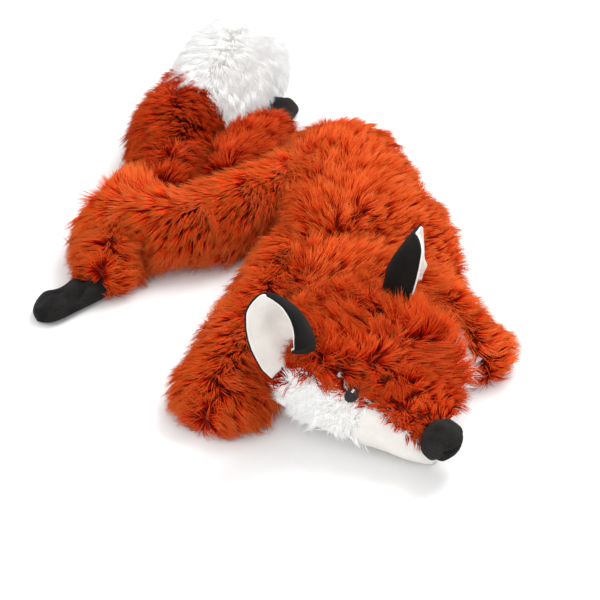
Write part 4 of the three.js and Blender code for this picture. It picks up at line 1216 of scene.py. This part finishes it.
def ear_sheet(name, near, far):
    """Points and faces of one cloth layer of an ear, between two depths."""
    facing, roll, shift, set_back, tall, rise, forward_lean, halves = EARS[name]
    seat_at = np.array(JOINTS[name + "_ear_flop"]["pos_m"])
    facing, roll = math.radians(facing), math.radians(roll)
    front = np.array([math.cos(facing), math.sin(facing), 0])
    left = np.array([-front[1], front[0], 0])
    points = []
    for depth in (far, near):
        for level in range(EAR_LEVELS + 1):
            up = level / EAR_LEVELS
            for column, (across, ahead, turn) in enumerate(ear_section(up, halves)):
                place = 2 * column / EAR_COLUMNS - 1
                crease = EAR_CREASE * hump(up, 0.4 - 0.22 * place, 0.07) * max(place + 0.5, 0)
                bowl = math.sin(math.pi * min(up / 0.9, 1))
                hollow = EAR_HOLLOW * hump(place, HOLLOW_AT, HOLLOW_WIDTH) * bowl
                forward = ahead + forward_lean * up**1.4 + depth * math.cos(turn) - set_back + crease - hollow
                sideways = across - depth * math.sin(turn) + shift
                start = rise * max(place, 0)
                height = start + up * (tall - start)
                aside = sideways * math.cos(roll) - height * math.sin(roll)
                risen = sideways * math.sin(roll) + height * math.cos(roll)
                points.append(seat_at + (front * forward + left * aside + UP * risen) * MM)
    width = EAR_COLUMNS + 1
    count = width * (EAR_LEVELS + 1)
    faces = []
    for level in range(EAR_LEVELS):
        for here in range(level * width, level * width + EAR_COLUMNS):
            quad = (here, here + 1, here + 1 + width, here + width)
            faces += [quad, tuple(count + index for index in quad[::-1])]
    rim = [*range(width), *(width * level + width - 1 for level in range(1, EAR_LEVELS + 1)),
           *(count - 1 - step for step in range(1, width)),
           *(width * level for level in range(EAR_LEVELS - 1, 0, -1))]
    for here, beyond in zip(rim, rim[1:] + rim[:1]):
        faces.append((beyond, here, count + here, count + beyond))
    return np.array(points), faces


def flat_size(ear_co):
    """The widest row, the longest column and the area of an ear's cloth, measured along the cloth."""
    layer = ear_co[:len(ear_co) // 2].reshape(EAR_LEVELS + 1, EAR_COLUMNS + 1, 3)
    rows, columns = np.diff(layer, axis=1), np.diff(layer, axis=0)
    width = np.linalg.norm(rows, axis=2).sum(axis=1).max()
    length = np.linalg.norm(columns, axis=2).sum(axis=0).max()
    area = np.linalg.norm(np.cross(rows[:-1], columns[:, :-1]), axis=2).sum()
    return float(width), float(length), float(area)


for name in EARS:
    # The back is the darker copy of the black velboa: painted shade.
    for part, near, far, cloth, slot in (
            ("back", -EAR_CLOTH - EAR_GAP, -EAR_GAP, EAR_VELBOA, "black_velboa"),
            ("lining", EAR_GAP, EAR_CLOTH + EAR_GAP, WHITE_VELBOA, "white_velboa")):
        ear_co, ear_faces = ear_sheet(name, near, far)
        ear = new_piece(name + "_ear_" + part + "_cloth", ear_co, ear_faces, cloth)
        seat(ear, name + "_ear", None, (name + "_ear_" + part,))
        width, length, area = flat_size(ear_co)
        print(ear.name, round(width / MM, 1), "x", round(length / MM, 1), "mm,", round(area / MM**2), "mm2")

# %% [markdown]
# ## Feet
# The hind feet are flat empty socks of black velboa, creased where they were folded.

# %% Shape the sock feet
FOOT_SIZE = (42, 23, 13)
CREASE_DEPTH, FOLD_HEIGHT, RIDGE_HEIGHT, FOLD_SIZE = 4.0, 4.4, 3.6, 0.01
FEET = (("right", "right_hind_foot_fold", -142, 5), ("left", "left_hind_foot_fold", 76, 6))
for side, joint, heading, seed in FEET:
    body = side + "_hind_foot"
    form = Form(joint, heading, FOOT_SIZE, FOOT_ROWS, 30, 36, 0.3, (0, 3), (0, 0.45))
    FORMS[body] = form
    left, upward = np.cos(form.turn), np.clip(np.sin(form.turn), 0, 1)
    crease = hump(form.along - 0.18 * left, 0.35, 0.05) * upward * CREASE_DEPTH
    folds = noise_at(form.co, FOLD_SIZE, offset=seed) * upward * FOLD_HEIGHT
    ridge = hump(left - 0.6 * form.along, -0.25, 0.16) * upward * smooth_step(1.0, 0.5, form.along)
    form.co[:, 2] = np.maximum(form.co[:, 2] + (folds + RIDGE_HEIGHT * ridge - crease) * MM, FLOOR_CLEAR)
    sole = under_faces(form)
    upper = [not low for low in sole]
    for name, node, wanted in (("_sock", "_upper", upper), ("_sole_cloth", "_sole", sole)):
        piece = panel(body + name, form.co, form.faces, wanted, BLACK_VELBOA)
        seat(piece, body, joint, (body + node,), back=4, on=10)
print("feet", [side for side, *_ in FEET])

# %% [markdown]
# ## Squeakers
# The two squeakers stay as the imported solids: a hollow bulb and a reed, in milky vinyl.

# %% Colour the squeakers
for place in ("head", "tail"):
    for part in ("bulb", "reed"):
        node = bpy.data.objects[place + "_squeaker_" + part]
        node.data.materials.clear()
        node.data.materials.append(VINYL)
print("squeakers coloured")
